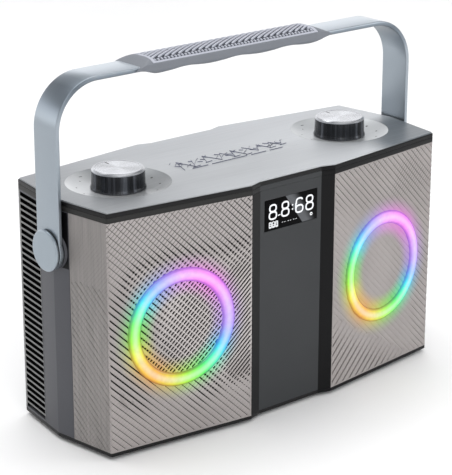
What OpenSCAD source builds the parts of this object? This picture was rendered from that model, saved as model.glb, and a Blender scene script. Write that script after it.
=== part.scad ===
// Portable karaoke machine with two toed speaker blocks, a recessed display
// column, two top dials and a flat strap handle. Sizes in millimetres.
// The origin is on the floor under the middle. +Z is up and -Y is the front.

/* [Cabinet] */
// Full width across the creases of the two sides
cabinet_w = 338; // [326:1:350]
// Width across the outer corners of the speaker blocks
corner_w = 322; // [310:1:324]
// Depth between the front and rear outer corners
corner_d = 109; // [100:1:116]
// Full depth, across the inner ends of the speaker blocks
cabinet_d = 138; // [130:1:150]
// Distance between the inner ends of the two speaker blocks
block_gap = 82; // [78:1:90]
// Width of the recessed centre column
column_w = 60.4; // [58:0.2:64]
// How far the column face lies behind the inner ends of the blocks
column_step = 3.5; // [3:0.1:5]
// Height from the underside of the base to the top plate
cabinet_h = 185; // [180:1:196]
// Rounding of the upright corners
corner_r = 1.5; // [0.5:0.1:2.5]

/* [Shell] */
// Wall thickness of the moulded shells
wall = 2.5; // [2:0.1:3]
// Thickness of the base plate
base_t = 3; // [2.5:0.1:4]
// Thickness of the trim frame under the top cover
trim_t = 4; // [3:0.1:5]
// Thickness of the top cover
cover_t = 3; // [2.5:0.1:3.5]
// Thickness of the metal top plate
plate_t = 1; // [0.8:0.1:1.2]
// Step of the top plate back from the edge of the top cover
plate_step = 0.8; // [0.5:0.1:1.2]
// Gap between neighbouring shells
seam = 0.4; // [0.3:0.05:0.5]
// Reach of the side frame ahead of the crease
band_front = 16.5; // [16:0.5:20]
// Reach of the side frame behind the crease
band_back = 20.5; // [18:0.5:22]
// Width of the ledges that carry the shells inside
ledge_w = 5; // [4.5:0.1:6]
// Height of those ledges
ledge_h = 4; // [3:0.1:5]

/* [Vents] */
// Distance from one vent slot to the next
vent_pitch = 4.8; // [4.6:0.1:6]
// Height of a vent slot
vent_slot = 3.2; // [2.6:0.1:3.6]
// Number of vent slots on each side
vent_count = 36; // [20:1:36]
// Length of a vent slot
vent_len = 30; // [24:1:31]
// Length of a louvre groove on the rear faces
louvre_len = 104; // [80:1:108]
// Depth of a louvre groove
louvre_depth = 1.2; // [0.6:0.1:1.5]
// Thickness of the dust screen behind the vents
screen_t = 0.6; // [0.4:0.1:1]

/* [Feet] */
// Height of a foot below the base plate
foot_h = 3; // [2:0.1:5]
// Radius of a foot
foot_r = 8; // [6:0.5:10]
// Distance between the feet across the width
foot_span_x = 260; // [220:2:280]
// Distance between the feet across the depth
foot_span_y = 76; // [60:1:80]
// Radius of the stem that holds a foot in the base plate
foot_stem_r = 2.5; // [2:0.1:3]

/* [Grilles and ring lights] */
// Thickness of a grille
grille_t = 1.6; // [1.2:0.1:2]
// Distance from one slanted groove of the weave to the next
weave_pitch = 4.1; // [3.6:0.1:6]
// Width of a weave groove
weave_slot = 1; // [0.6:0.1:1.4]
// Depth of a weave groove
weave_depth = 0.7; // [0.4:0.1:0.9]
// Lean of the weave grooves from the level, in degrees
weave_lean = 44; // [35:1:55]
// Plain hem round the weave
weave_hem = 1.2; // [1.2:0.1:3]
// Outer radius of a ring light
ring_r = 44.7; // [43:0.1:46]
// Radius of the opening inside a ring light
ring_inner_r = 35.2; // [34:0.1:36]
// How far a ring light stands proud of its grille
ring_proud = 1.5; // [0.5:0.1:2]
// Height of the ring centres above the underside of the base
ring_height = 88; // [80:1:96]
// Wall of the ring light diffuser
ring_wall = 1.5; // [1.2:0.1:1.8]
// Clearance between a ring light and the grilles
ring_gap = 0.3; // [0.2:0.05:0.5]
// Thickness of the lamp boards
lamp_board_t = 1.2; // [1:0.1:1.6]
// Number of lamps on one lamp board
lamp_count = 12; // [8:1:16]
// Depth from the grille face to the front of the baffle
baffle_depth = 6.2; // [6:0.1:7]
// Thickness of the baffle
baffle_t = 3; // [2.5:0.1:4]

/* [Speaker drivers] */
// Radius of the baffle hole in front of a cone
cone_hole_r = 36.5; // [36.3:0.1:37.5]
// Outer radius of a driver's mounting flange
flange_r = 44; // [43.5:0.1:46]
// Thickness of a driver's mounting flange
flange_t = 2.2; // [1.8:0.1:3]
// Depth of a driver's frame behind its flange
frame_depth = 21; // [18:0.5:26]
// Radius of a driver's magnet
magnet_r = 21; // [18:0.5:22]
// Depth of a driver's magnet
magnet_t = 11; // [8:0.5:14]
// Radius of a cone at its front rim
cone_r = 29.5; // [28.5:0.1:30]
// Depth of a cone
cone_depth = 15; // [12:0.5:17]
// Radius of the voice coil
coil_r = 8.8; // [8:0.1:9.5]
// Radius of the circle of driver screws
driver_screw_circle = 40.5; // [40.4:0.1:41]

/* [Display] */
// Width of the display lens
lens_w = 52; // [46:0.5:54]
// Height of the display lens
lens_h = 23.8; // [20:0.2:26]
// Height of the lens centre above the underside of the base
lens_height = 156.6; // [146:0.2:160]
// Clearance around the lens
lens_gap = 0.2; // [0.1:0.05:0.3]
// Thickness of the display module behind the lens
module_t = 5; // [4:0.5:8]

/* [Top dials] */
// Distance of each dial's centre from the middle
dial_x = 110; // [104:1:114]
// Radius of the dished recess round a knob
dish_r = 39; // [36:0.5:42]
// Radius of the flat floor of the dish
dish_floor_r = 22; // [21:0.5:26]
// Depth of the dish
dish_depth = 4.5; // [3.5:0.1:5]
// Radius of a knob
knob_r = 19.8; // [17:0.1:20.2]
// Height of a knob above the floor of its dish
knob_h = 15.5; // [14:0.5:20]
// Thickness of the cap on a knob
knob_cap_t = 2; // [1.5:0.1:3]
// Radius of a knob's shaft
shaft_r = 3; // [2.5:0.1:3.5]
// Running clearance between a shaft and its bush
shaft_gap = 0.05; // [0.02:0.01:0.09]

/* [Relief band] */
// Width of the relief band on the top plate
relief_w = 113; // [90:1:120]
// Depth of the relief band, front to rear
relief_d = 25; // [20:1:30]
// Height of the raised ribs
relief_h = 0.6; // [0.4:0.1:1]
// Width of a raised rib
relief_rib = 1.3; // [1:0.1:2]
// Number of lozenges along the band
relief_count = 9; // [6:1:12]

/* [Handle] */
// Height of the pivots above the underside of the base
pivot_height = 146.5; // [130:0.5:150]
// Height of the strap's top above the underside of the base
strap_height = 270.5; // [262:0.5:290]
// Width of the strap
strap_w = 27; // [24:0.5:28]
// Thickness of the strap
strap_t = 3.5; // [3:0.1:4]
// Radius of the strap's upper corners, outside
strap_bend_r = 37; // [30:1:45]
// Radius of the round pivot ends of the strap
strap_end_r = 14.6; // [14.2:0.1:15]
// Radius of the shoulder that the strap turns on
pivot_r = 4; // [3.5:0.1:4.5]
// Running clearance between strap and shoulder
pivot_gap = 0.05; // [0.02:0.01:0.09]
// Thickness of the friction washers
washer_t = 0.5; // [0.4:0.05:0.8]
// Radius of a pivot cap
pivot_cap_r = 15.3; // [15:0.1:16]
// Thickness of a pivot cap
pivot_cap_t = 3.5; // [3:0.1:5]
// Side play of the strap between washers and bolt heads
side_play = 0.1; // [0.05:0.01:0.2]

/* [Grip] */
// Length of the grip
grip_len = 190; // [160:1:200]
// How far the middle of the grip sits right of the middle of the strap
grip_shift = -8; // [-10:1:10]
// Width of the grip
grip_w = 31; // [30.5:0.1:36]
// Rise of the grip's crown above the strap
crown_rise = 4.6; // [4:0.1:6]
// Rise of the grip's upper edges above the strap
edge_rise = 0.9; // [0.6:0.1:1.5]
// Depth of the finger ridges below the strap
ridge_drop = 3.6; // [3.3:0.1:6]
// Depth of the finger grooves between the ridges
groove_depth = 2.2; // [1:0.1:2.4]
// Distance from one finger groove to the next
groove_pitch = 49; // [40:1:52]
// Width of the ribbed pad on top of the grip
pad_w = 25; // [20:0.5:26]
// Length of the ribbed pad
pad_len = 160; // [120:1:164]
// Thickness of the pad under the crown
pad_t = 2.5; // [2.4:0.1:3]

/* [Rear panel] */
// Width of the port panel
panel_w = 50; // [48:1:54]
// Height of the port panel
panel_h = 112; // [108:1:120]
// Height of the panel's middle above the underside of the base
panel_height = 105; // [96:1:112]
// Thickness of the port panel
panel_t = 1.5; // [1.2:0.1:2]
// Radius of the bore of a microphone jack
mic_jack_r = 3.25; // [3.2:0.05:3.4]
// Radius of the bore of the line input jack
aux_jack_r = 1.8; // [1.78:0.01:1.9]
// Radius of the bore of the supply inlet
dc_bore_r = 2.8; // [2.75:0.05:3]
// Depth of the sockets between panel and port board
jack_depth = 15; // [13:0.5:18]
// Depth of the microphone jacks behind the panel
mic_jack_depth = 31; // [28:0.5:34]
// Radius of a push button
button_r = 3.4; // [3:0.1:4]
// Travel of a push button
button_travel = 0.8; // [0.5:0.1:0.9]
// Clearance round a push button
button_gap = 0.3; // [0.2:0.05:0.4]
// Distance between the push buttons
button_pitch = 14; // [12:0.5:16]
// Radius of the rocker about its pivot
rocker_r = 6.8; // [6:0.1:7.5]
// Width of the rocker
rocker_w = 8.4; // [7:0.1:10]
// Tilt of the rocker to either side of level
rocker_tilt = 8; // [5:1:12]

/* [Inside] */
// Length of the main board
main_board_l = 120; // [100:1:130]
// Width of the main board
main_board_w = 60; // [50:1:70]
// Thickness of the circuit boards
board_t = 1.6; // [1:0.1:2]
// Height of the posts under the main board
post_h = 8; // [6:0.5:12]
// Radius of a battery cell
cell_r = 9.2; // [9:0.1:10]
// Length of the battery pack
battery_l = 70; // [66:1:76]
// Radius of the screws
screw_r = 1.3; // [1:0.1:1.4]
// Clearance between a screw and its hole
screw_gap = 0.15; // [0.1:0.01:0.2]

/* [Hidden] */
$fn = 64;
SIDES = [-1, 1];
eps = 0.01;
far = 400;

// Heights above the floor
base_z = foot_h;
wall_z = base_z + base_t;
top_z = base_z + cabinet_h;
plate_z = top_z - plate_t;
cover_z = plate_z - cover_t;
trim_z = cover_z - trim_t;
wall_h = trim_z - wall_z;
ring_z = base_z + ring_height;
lens_z = base_z + lens_height;
panel_z = base_z + panel_height;
pivot_z = base_z + pivot_height;
strap_top_z = base_z + strap_height;
strap_low_z = strap_top_z - strap_t;
dish_z = top_z - dish_depth;

// Plan of the cabinet, anticlockwise from the right crease
crease_x = cabinet_w / 2;
corner_x = corner_w / 2;
corner_y = corner_d / 2;
block_x = block_gap / 2;
block_y = cabinet_d / 2;
column_x = column_w / 2;
column_y = block_y - column_step;
quarter = [[corner_x, corner_y], [block_x, block_y], [column_x, column_y]];
OUTLINE = [
    [crease_x, 0],
    each quarter,
    each [for (i = [2:-1:0]) [-quarter[i][0], quarter[i][1]]],
    [-crease_x, 0],
    each [for (p = quarter) [-p[0], -p[1]]],
    each [for (i = [2:-1:0]) [quarter[i][0], -quarter[i][1]]]
];

// Speaker faces: length, turn against the X axis and middle point
face_len = norm([corner_x - block_x, block_y - corner_y]);
toe = atan2(block_y - corner_y, corner_x - block_x);
face_x = (corner_x + block_x) / 2;
face_y = (corner_y + block_y) / 2;
facet_turn = atan2(crease_x - corner_x, corner_y);
facet_len = norm([crease_x - corner_x, corner_y]);

// Overlap of the side frames behind the back cover
band_lap = 4;

// Depths behind a speaker face
baffle_back = baffle_depth + baffle_t;
flange_back = baffle_back + flange_t;
frame_back = flange_back + frame_depth;
paper_t = 0.8;
former_t = 0.6;
coil_dip = 2;
cap_t = 1.2;
cap_seat = 2;
cap_rise = 4;
cone_lift = 0.6;
lamp_front = baffle_depth - lamp_board_t;
back_plate_t = 3;

// Section of a ring light, with the lips that hold it behind the grilles
ring_mid_r = (ring_r + ring_inner_r) / 2;
ring_half = (ring_r - ring_inner_r) / 2;
lip_r = ring_inner_r - 1.6;
lip_t = 1.2;
rim_r = ring_r + 1.8;

// Height of the lowest vent slot, and its start behind the crease
vent_z = wall_z + (wall_h - (vent_count - 1) * vent_pitch) / 2;
vent_start = band_back / cos(facet_turn) + 1;

// Screws: heads, reach into the shells and places in the base plate
screw_head_r = 2.6;
screw_head_t = 1.3;
screw_reach = 3;
head_seat_z = base_z + 1.5;
base_screw_u = face_len / 2 - 16;
base_screw_d = grille_t + ledge_w / 2;

// Potentiometers, their bushes and nuts, and the levels of a knob
pot_r = 8.5;
pot_h = 9;
bush_r = shaft_r + 0.6;
bush_rise = 3.6;
nut_r = 5.6;
nut_t = 2;
dish_under_z = dish_z - plate_t;
knob_base_z = dish_z + 0.4;
knob_top_z = dish_z + knob_h;
knob_deck_z = knob_top_z - knob_cap_t;
knob_cavity_z = knob_deck_z - 3.2;
hub_z = dish_z + bush_rise + 0.6;

// Capacitors of the main board, and the heat sink
capacitor_r = 4;
capacitor_h = 14;
capacitor_pitch = 11;
sink_w = 36;
sink_d = 24;
sink_h = 16;
fin_t = 2;
fin_count = 7;

// Battery cells and the strip that joins them
cell_pitch = 2 * cell_r + 1;
battery_inset = 2;

// Handle across the width
boss_x = crease_x + 0.1;
washer_x = boss_x + washer_t;
strap_in_x = washer_x + side_play;
strap_out_x = strap_in_x + strap_t;
bolt_head_x = strap_out_x + side_play;
bolt_head_t = 1.8;
bolt_head_r = 7.5;
bolt_thread_r = 3;
boss_r = 15;
boss_depth = 8;

// Grip across its section
grip_x0 = grip_shift - grip_len / 2;
grip_end_run = 22;
grip_top_run = 14;
strap_slot_gap = 0.1;
grip_seat_z = strap_top_z + strap_slot_gap;
grip_screw_x = 60;
grip_head_seat_z = strap_low_z - 1;
pad_low_z = strap_top_z + crown_rise - pad_t;

// Rear panel: the outer face and the levels of its rows
panel_y = column_y;
panel_back_y = panel_y - panel_t;
port_board_y = panel_back_y - jack_depth;
rocker_rise = 39;
button_rise = 20;
media_rise = 3;
line_drop = 15;
mic_drop = 38;
rocker_z = panel_z + rocker_rise;
button_z = panel_z + button_rise;
media_z = panel_z + media_rise;
line_z = panel_z - line_drop;
mic_z = panel_z - mic_drop;
port_x = 12;
usb_w = 13;
usb_h = 5.6;
card_w = 12.6;
card_h = 2.4;
rocker_y = panel_back_y - 1.4;
rocker_flat = rocker_r / 2;
rocker_gap = 0.25;
trunnion_r = 1.2;
housing_w = rocker_w + 2.4;
housing_h = 2 * rocker_r + 2.6;
button_flange_r = button_r + 1;
button_proud = 1.4;
mic_body_r = mic_jack_r + 2.4;
jack_floor = 1.5;
jack_proud = 0.8;
panel_open_h = panel_h - 16;
panel_boss_r = 3.2;
panel_boss_depth = 8;

// Corner of a polygon moved inwards by d, between its two edges
function edge_normal(a, b) = [a[1] - b[1], b[0] - a[0]] / norm(b - a);
function corner_shift(n1, n2) = (n1 + n2) / (1 + n1 * n2);
function inset(pts, d) =
    let (n = len(pts))
    [for (i = [0 : n - 1])
        let (
            q = pts[i],
            n1 = edge_normal(pts[(i + n - 1) % n], q),
            n2 = edge_normal(q, pts[(i + 1) % n])
        )
        q + d * corner_shift(n1, n2)];

// Polygon with each corner drawn as a short arc of radius r
function rounded(pts, r, steps = 3) =
    let (n = len(pts))
    [for (i = [0 : n - 1])
        let (
            q = pts[i],
            n1 = edge_normal(pts[(i + n - 1) % n], q),
            n2 = edge_normal(q, pts[(i + 1) % n]),
            turn = n1[0] * n2[1] - n1[1] * n2[0],
            s = turn > 0 ? 1 : -1,
            c = q + s * r * corner_shift(n1, n2),
            a1 = atan2(-s * n1[1], -s * n1[0]),
            da = asin(turn)
        )
        for (k = [0 : steps])
            c + r * [cos(a1 + da * k / steps), sin(a1 + da * k / steps)]];

// Height of the grip's underside at a distance x from its middle
function ease(t) = let (c = max(0, min(1, t))) c * c * (3 - 2 * c);
function underside_z(x) =
    let (
        wave = (1 + cos(360 * x / groove_pitch)) / 2,
        half = grip_len / 2,
        tip = ease((abs(x) - (half - grip_end_run)) / grip_end_run)
    )
    strap_low_z - ridge_drop + groove_depth * wave * (1 - tip)
        + (ridge_drop + strap_t * 0.3) * tip;

// Plates and walls that follow the plan of the cabinet
module slab(z, h, d) {
    translate([0, 0, z])
        linear_extrude(h) polygon(rounded(inset(OUTLINE, d), corner_r));
}

module ring_wall(z, h, d_out, d_in) {
    difference() {
        slab(z, h, d_out);
        translate([0, 0, z - 1])
            linear_extrude(h + 2) polygon(inset(OUTLINE, d_in));
    }
}

// Everything between two planes across the depth
module depth_band(y0, y1) {
    translate([-far / 2, y0, 0]) cube([far, y1 - y0, far]);
}

// Everything between two planes across the width
module width_band(x0, x1) {
    translate([x0, -far / 2, 0]) cube([x1 - x0, far, far]);
}

// Everything beyond a distance x from the middle, on one side
module side_band(side, x) {
    width_band(side < 0 ? -far / 2 : x, side < 0 ? -x : far / 2);
}

// Frame of a speaker face: local X along it, local Y into the cabinet
module on_face(side, z = 0) {
    translate([side * face_x, -face_y, z])
        rotate([0, 0, side * toe]) children();
}

// Frame of a rear face, as on_face but seen from behind
module on_rear_face(side, z = 0) {
    mirror([0, 1, 0]) on_face(side, z) children();
}

// Frame of a rear side facet: local X from the crease backwards,
// local Y into the cabinet
module on_rear_facet(side, z = 0) {
    mirror([side < 0 ? 1 : 0, 0, 0]) translate([crease_x, 0, z])
        rotate([0, 0, 90 + facet_turn]) children();
}

// Turned shape with its axis running into the cabinet from a face
module turned(side) {
    on_face(side, ring_z) rotate([-90, 0, 0]) rotate_extrude() children();
}

// Rod into the cabinet from a face, from depth d0 to d1
module bore_in(side, r, d0, d1) {
    on_face(side, ring_z) translate([0, d0, 0])
        rotate([-90, 0, 0]) cylinder(r = r, h = d1 - d0);
}

// Rod along the depth of the cabinet at x, z, from y0 to y1
module rod_y(x, z, r, y0, y1) {
    translate([x, y0, z]) rotate([-90, 0, 0]) cylinder(r = r, h = y1 - y0);
}

// Rod along the width at the pivots, from x0 to x1, on one side
module pivot_rod(side, r, x0, x1) {
    mirror([side < 0 ? 1 : 0, 0, 0]) translate([x0, 0, pivot_z])
        rotate([0, 90, 0]) cylinder(r = r, h = x1 - x0);
}

module box_at(x, y0, z, w, d, h) {
    translate([x - w / 2, y0, z - h / 2]) cube([w, d, h]);
}

// Places of the screws that hold the shells to the base plate
module at_base_screws(front = true, rear = true) {
    for (side = SIDES, u = [-1, 1]) {
        if (front)
            on_face(side) translate([u * base_screw_u, base_screw_d, 0])
                children();
        if (rear)
            on_rear_face(side) translate([u * base_screw_u, base_screw_d, 0])
                children();
    }
}

module base_screw_holes() {
    translate([0, 0, wall_z - 1])
        cylinder(r = screw_r + screw_gap, h = screw_reach + 1.2);
}

// Bottom

module base_plate() {
    color("#1c1d20") difference() {
        union() {
            slab(base_z, base_t, 0);
            for (x = SIDES, y = SIDES)
                translate([x * (main_board_l / 2 - 6),
                    y * (main_board_w / 2 - 6), wall_z - eps])
                    cylinder(r = 3, h = post_h + eps);
        }
        for (x = SIDES, y = SIDES)
            translate([x * foot_span_x / 2, y * foot_span_y / 2, 0])
                cylinder(r = foot_stem_r + 0.1, h = far);
        at_base_screws() {
            translate([0, 0, base_z - 1])
                cylinder(r = screw_r + screw_gap, h = base_t + 2);
        }
        at_base_screws() {
            translate([0, 0, base_z - 1])
                cylinder(r = screw_head_r + 0.2, h = head_seat_z - base_z + 1);
        }
    }
}

module feet() {
    color("#2a2a2c") for (x = SIDES, y = SIDES)
        translate([x * foot_span_x / 2, y * foot_span_y / 2, 0]) {
            rotate_extrude() polygon([
                [0, 0], [foot_r - 0.8, 0], [foot_r, 0.8], [foot_r, foot_h],
                [foot_stem_r, foot_h], [foot_stem_r, wall_z], [0, wall_z]
            ]);
        }
}

module base_screws() {
    color("#8d9096") at_base_screws() {
        translate([0, 0, head_seat_z - screw_head_t])
            cylinder(r = screw_head_r, h = screw_head_t);
        translate([0, 0, head_seat_z - eps])
            cylinder(r = screw_r, h = wall_z + screw_reach - head_seat_z);
    }
}

// Side frames, which carry the handle

module side_frame(side) {
    color("#5d5f65") difference() {
        union() {
            intersection() {
                ring_wall(wall_z, wall_h, 0, wall);
                depth_band(-band_front + seam, band_back - seam);
                side_band(side, crease_x / 2);
            }
            intersection() {
                ring_wall(wall_z, wall_h, wall - eps, 2 * wall);
                depth_band(-band_front + seam, band_back - seam);
                side_band(side, crease_x / 2);
            }
            intersection() {
                ring_wall(wall_z, wall_h, wall, 2 * wall);
                depth_band(band_back - 2 * seam, band_back + band_lap);
                side_band(side, crease_x / 2);
            }
            pivot_rod(side, boss_r, boss_x - boss_depth, boss_x);
        }
        pivot_rod(side, bolt_thread_r + screw_gap, boss_x - boss_depth - 1,
            boss_x + 1);
    }
}

module left_side_frame() { side_frame(-1); }
module right_side_frame() { side_frame(1); }

// Back

module vent_slots(side) {
    for (i = [0 : vent_count - 1])
        on_rear_facet(side, vent_z + i * vent_pitch)
            translate([vent_start, -1, -vent_slot / 2])
                cube([vent_len, wall + 2, vent_slot]);
}

module louvre_grooves(side) {
    for (i = [1 : vent_count - 2])
        on_rear_face(side, vent_z + i * vent_pitch)
            translate([-louvre_len / 2, -1, -vent_slot / 2])
                cube([louvre_len, louvre_depth + 1, vent_slot]);
}

// Ledge inside the back cover, along the rear faces only
module rear_ledge(z) {
    intersection() {
        ring_wall(z, ledge_h, wall - eps, grille_t + ledge_w);
        depth_band(corner_y / 2 + 12, far / 2);
        width_band(-corner_x + 10, corner_x - 10);
    }
}

module back_cover() {
    color("#6b6d73") difference() {
        union() {
            intersection() {
                ring_wall(wall_z, wall_h, 0, wall);
                depth_band(band_back, far / 2);
            }
            rear_ledge(wall_z);
            rear_ledge(trim_z - ledge_h);
            panel_screw_places()
                rod_y(0, 0, panel_boss_r, panel_back_y - panel_boss_depth,
                    panel_back_y);
        }
        for (side = SIDES) {
            vent_slots(side);
            louvre_grooves(side);
        }
        box_at(0, panel_back_y, panel_z, panel_w + 2 * seam, far / 2,
            panel_h + 2 * seam);
        box_at(0, column_y - wall - 1, panel_z, panel_w - 4, far / 2,
            panel_open_h);
        at_base_screws(front = false) {
            base_screw_holes();
        }
        panel_screw_places()
            rod_y(0, 0, screw_r + screw_gap,
                panel_back_y - panel_boss_depth - 1, panel_y);
    }
}

module vent_screens() {
    start = (band_back + band_lap) / cos(facet_turn) + 2 * seam;
    color("#141416") for (side = SIDES)
        on_rear_facet(side, wall_z + seam)
            translate([start, wall, 0])
                cube([vent_start + vent_len + seam - start, screen_t,
                    wall_h - 2 * seam]);
}

// Rear panel and what is behind it

module rocker_hole(gap) {
    box_at(0, panel_back_y - 1, rocker_z, housing_w + gap, far / 2,
        housing_h + gap);
}

module button_places() {
    for (i = [-1 : 1]) translate([i * button_pitch, 0, 0]) children();
}

module port_panel() {
    color("#3a3b40") difference() {
        box_at(0, panel_back_y, panel_z, panel_w, panel_t, panel_h);
        rocker_hole(0.4);
        button_places()
            rod_y(0, button_z, button_r + button_gap, panel_back_y - 1,
                panel_y + 1);
        box_at(-port_x, panel_back_y - 1, media_z, usb_w + 0.2, far,
            usb_h + 0.2);
        box_at(port_x, panel_back_y - 1, media_z, card_w, far, card_h);
        rod_y(-port_x, line_z, aux_jack_r + 1.3, panel_back_y - 1,
            panel_y + 1);
        rod_y(port_x, line_z, dc_bore_r + 1.2, panel_back_y - 1, panel_y + 1);
        for (x = SIDES)
            rod_y(x * port_x, mic_z, mic_body_r - 0.2, panel_back_y - 1,
                panel_y + 1);
        panel_screw_places()
            rod_y(0, 0, screw_r + screw_gap, panel_back_y - 1, panel_y + 1);
    }
}

module panel_screw_places() {
    for (x = SIDES, z = SIDES)
        translate([x * (panel_w / 2 - 4), 0, panel_z + z * (panel_h / 2 - 4)])
            children();
}

module panel_screws() {
    color("#9a9da3") panel_screw_places() {
        rod_y(0, 0, screw_head_r, panel_y, panel_y + screw_head_t);
        rod_y(0, 0, screw_r, panel_back_y - panel_boss_depth + 1,
            panel_y + eps);
    }
}

module port_board() {
    color("#1f5a3a") difference() {
        box_at(0, port_board_y, panel_z, panel_w - 6, board_t,
            panel_open_h - 2);
        box_at(0, port_board_y - 1, rocker_z, housing_w + 0.4, far / 2,
            housing_h + 0.4);
        for (x = SIDES)
            box_at(x * port_x, port_board_y - 1, mic_z,
                2 * mic_body_r + 0.4, far / 2, 2 * mic_body_r + 0.4);
    }
}

module media_sockets() {
    y0 = port_board_y + board_t;
    mouth = panel_back_y - y0;
    color("#c3c6ca") {
        difference() {
            box_at(-port_x, y0, media_z, usb_w, mouth + 1, usb_h);
            box_at(-port_x, y0 + 2, media_z, usb_w - 0.6, far, usb_h - 0.6);
        }
        box_at(-port_x, y0 + 1, media_z + 0.9, usb_w - 2.4, mouth - 0.5, 1.8);
        difference() {
            box_at(port_x, y0, media_z, card_w + 1.4, mouth, card_h + 1.4);
            box_at(port_x, y0 + 2, media_z, card_w, far, card_h);
        }
    }
}

// Jack with a square body from y0 to the panel and a round nose
module jack(x, z, r, rim, nose_r, y0) {
    difference() {
        union() {
            box_at(x, y0, z, 2 * nose_r, panel_back_y - y0, 2 * nose_r);
            rod_y(x, z, nose_r - rim, panel_back_y - eps,
                panel_y + jack_proud);
        }
        rod_y(x, z, r, y0 + jack_floor, panel_y + 2);
    }
}

module audio_jacks() {
    color("#2b2c30") {
        for (x = SIDES)
            jack(x * port_x, mic_z, mic_jack_r, 0.4, mic_body_r,
                panel_back_y - mic_jack_depth);
        jack(-port_x, line_z, aux_jack_r, 0.3, aux_jack_r + 1.4,
            port_board_y + board_t);
    }
}

module dc_inlet() {
    color("#26272b") {
        jack(port_x, line_z, dc_bore_r, 0.3, dc_bore_r + 1.3,
            port_board_y + board_t);
        rod_y(port_x, line_z, 0.9, port_board_y + board_t + 1, panel_y);
    }
}

module rocker_housing() {
    color("#2b2c30") difference() {
        union() {
            box_at(0, port_board_y - 1, rocker_z, housing_w,
                panel_y - port_board_y + 1, housing_h);
            box_at(0, panel_y, rocker_z, housing_w + 2.4, 1, housing_h + 2.4);
        }
        translate([-rocker_w / 2 - rocker_gap, rocker_y, rocker_z])
            rotate([0, 90, 0])
                cylinder(r = rocker_r + rocker_gap,
                    h = rocker_w + 2 * rocker_gap);
        box_at(0, rocker_y, rocker_z, rocker_w + 2 * rocker_gap, far / 2,
            2 * (rocker_r + rocker_gap));
        translate([-housing_w / 2 - 1, rocker_y, rocker_z])
            rotate([0, 90, 0])
                cylinder(r = trunnion_r + shaft_gap, h = housing_w + 2);
    }
}

// Rocker with two flats, tilted towards its off side at rest
module power_rocker() {
    color("#17181a") translate([0, rocker_y, rocker_z])
        rotate([rocker_tilt, 0, 0]) {
            intersection() {
                translate([-rocker_w / 2, 0, 0]) rotate([0, 90, 0])
                    cylinder(r = rocker_r, h = rocker_w);
                rotate([rocker_tilt, 0, 0])
                    translate([-rocker_w, -2.2, -2 * rocker_r])
                        cube([2 * rocker_w, rocker_flat + 2.2, 4 * rocker_r]);
                rotate([-rocker_tilt, 0, 0])
                    translate([-rocker_w, -2.2, -2 * rocker_r])
                        cube([2 * rocker_w, rocker_flat + 2.2, 4 * rocker_r]);
            }
            translate([-housing_w / 2, 0, 0]) rotate([0, 90, 0])
                cylinder(r = trunnion_r, h = housing_w);
        }
}

module push_button(i) {
    x = i * button_pitch;
    color("#202124") {
        rod_y(x, button_z, button_flange_r, panel_back_y - 2,
            panel_back_y - 0.3);
        rod_y(x, button_z, button_r, panel_back_y - 1, panel_y + button_proud);
    }
}

module previous_button() { push_button(1); }
module play_button() { push_button(0); }
module next_button() { push_button(-1); }

module tact_switches() {
    y0 = port_board_y + board_t;
    y1 = panel_back_y - 2 - button_travel - 0.1;
    color("#3b3d42") button_places() {
        box_at(0, y0, button_z, 6, y1 - y0 - 1.2, 6);
        rod_y(0, button_z, 1.7, y1 - 1.2 - eps, y1);
    }
}

// Front

module front_baffle() {
    color("#26272a") difference() {
        union() {
            intersection() {
                ring_wall(wall_z, wall_h, baffle_depth, baffle_back);
                depth_band(-far / 2, -band_front);
            }
            for (z = [wall_z, trim_z - ledge_h])
                intersection() {
                    ring_wall(z, ledge_h, grille_t, baffle_depth + eps);
                    depth_band(-far / 2, -band_front);
                    union() {
                        width_band(-far / 2, -block_x);
                        width_band(block_x, far / 2);
                    }
                }
        }
        for (side = SIDES) {
            bore_in(side, cone_hole_r, baffle_depth - 1, baffle_back + 1);
            driver_screw_places(side)
                translate([0, baffle_back - 2, 0]) rotate([-90, 0, 0])
                    cylinder(r = screw_r + screw_gap, h = 3);
        }
        box_at(0, -far / 2, lens_z, lens_w + 14, far / 2, lens_h + 16);
        at_base_screws(rear = false) {
            base_screw_holes();
        }
    }
}

// Slanted grooves of the weave, right across a speaker face
module weave(side) {
    reach = norm([face_len, wall_h]) / 2;
    count = floor(reach / weave_pitch);
    on_face(side, ring_z) rotate([0, weave_lean, 0])
        for (i = [-count : count])
            translate([-reach, -1, i * weave_pitch - weave_slot / 2])
                cube([2 * reach, 1 + weave_depth, weave_slot]);
}

module grille(side) {
    color("#a39c9b") difference() {
        intersection() {
            ring_wall(wall_z, wall_h, 0, grille_t);
            depth_band(-far / 2, -band_front);
            side_band(side, block_x);
        }
        bore_in(side, ring_r + ring_gap, -5, baffle_depth);
        intersection() {
            weave(side);
            on_face(side, wall_z + weave_hem)
                translate([weave_hem - face_len / 2, -2, 0])
                    cube([face_len - 2 * weave_hem, 2 + grille_t,
                        wall_h - 2 * weave_hem]);
        }
    }
}

module left_grille() { grille(-1); }
module right_grille() { grille(1); }

module centre_column() {
    color("#47494c") difference() {
        intersection() {
            ring_wall(wall_z, wall_h, 0, wall);
            depth_band(-far / 2, 0);
            width_band(-block_x + seam / 2, block_x - seam / 2);
        }
        box_at(0, -far / 2, lens_z, lens_w + 2 * lens_gap, far / 2,
            lens_h + 2 * lens_gap);
    }
}

module display_lens() {
    color("#101114") box_at(0, -column_y + lens_gap, lens_z, lens_w,
        wall - lens_gap, lens_h);
}

module display_board() {
    y0 = -column_y + wall;
    color("#1f5a3a") {
        box_at(0, y0, lens_z, lens_w + 6, module_t, lens_h + 6);
        box_at(0, y0 + module_t - eps, lens_z, lens_w + 10, board_t,
            lens_h + 12);
    }
}

// Ring lights

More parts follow.
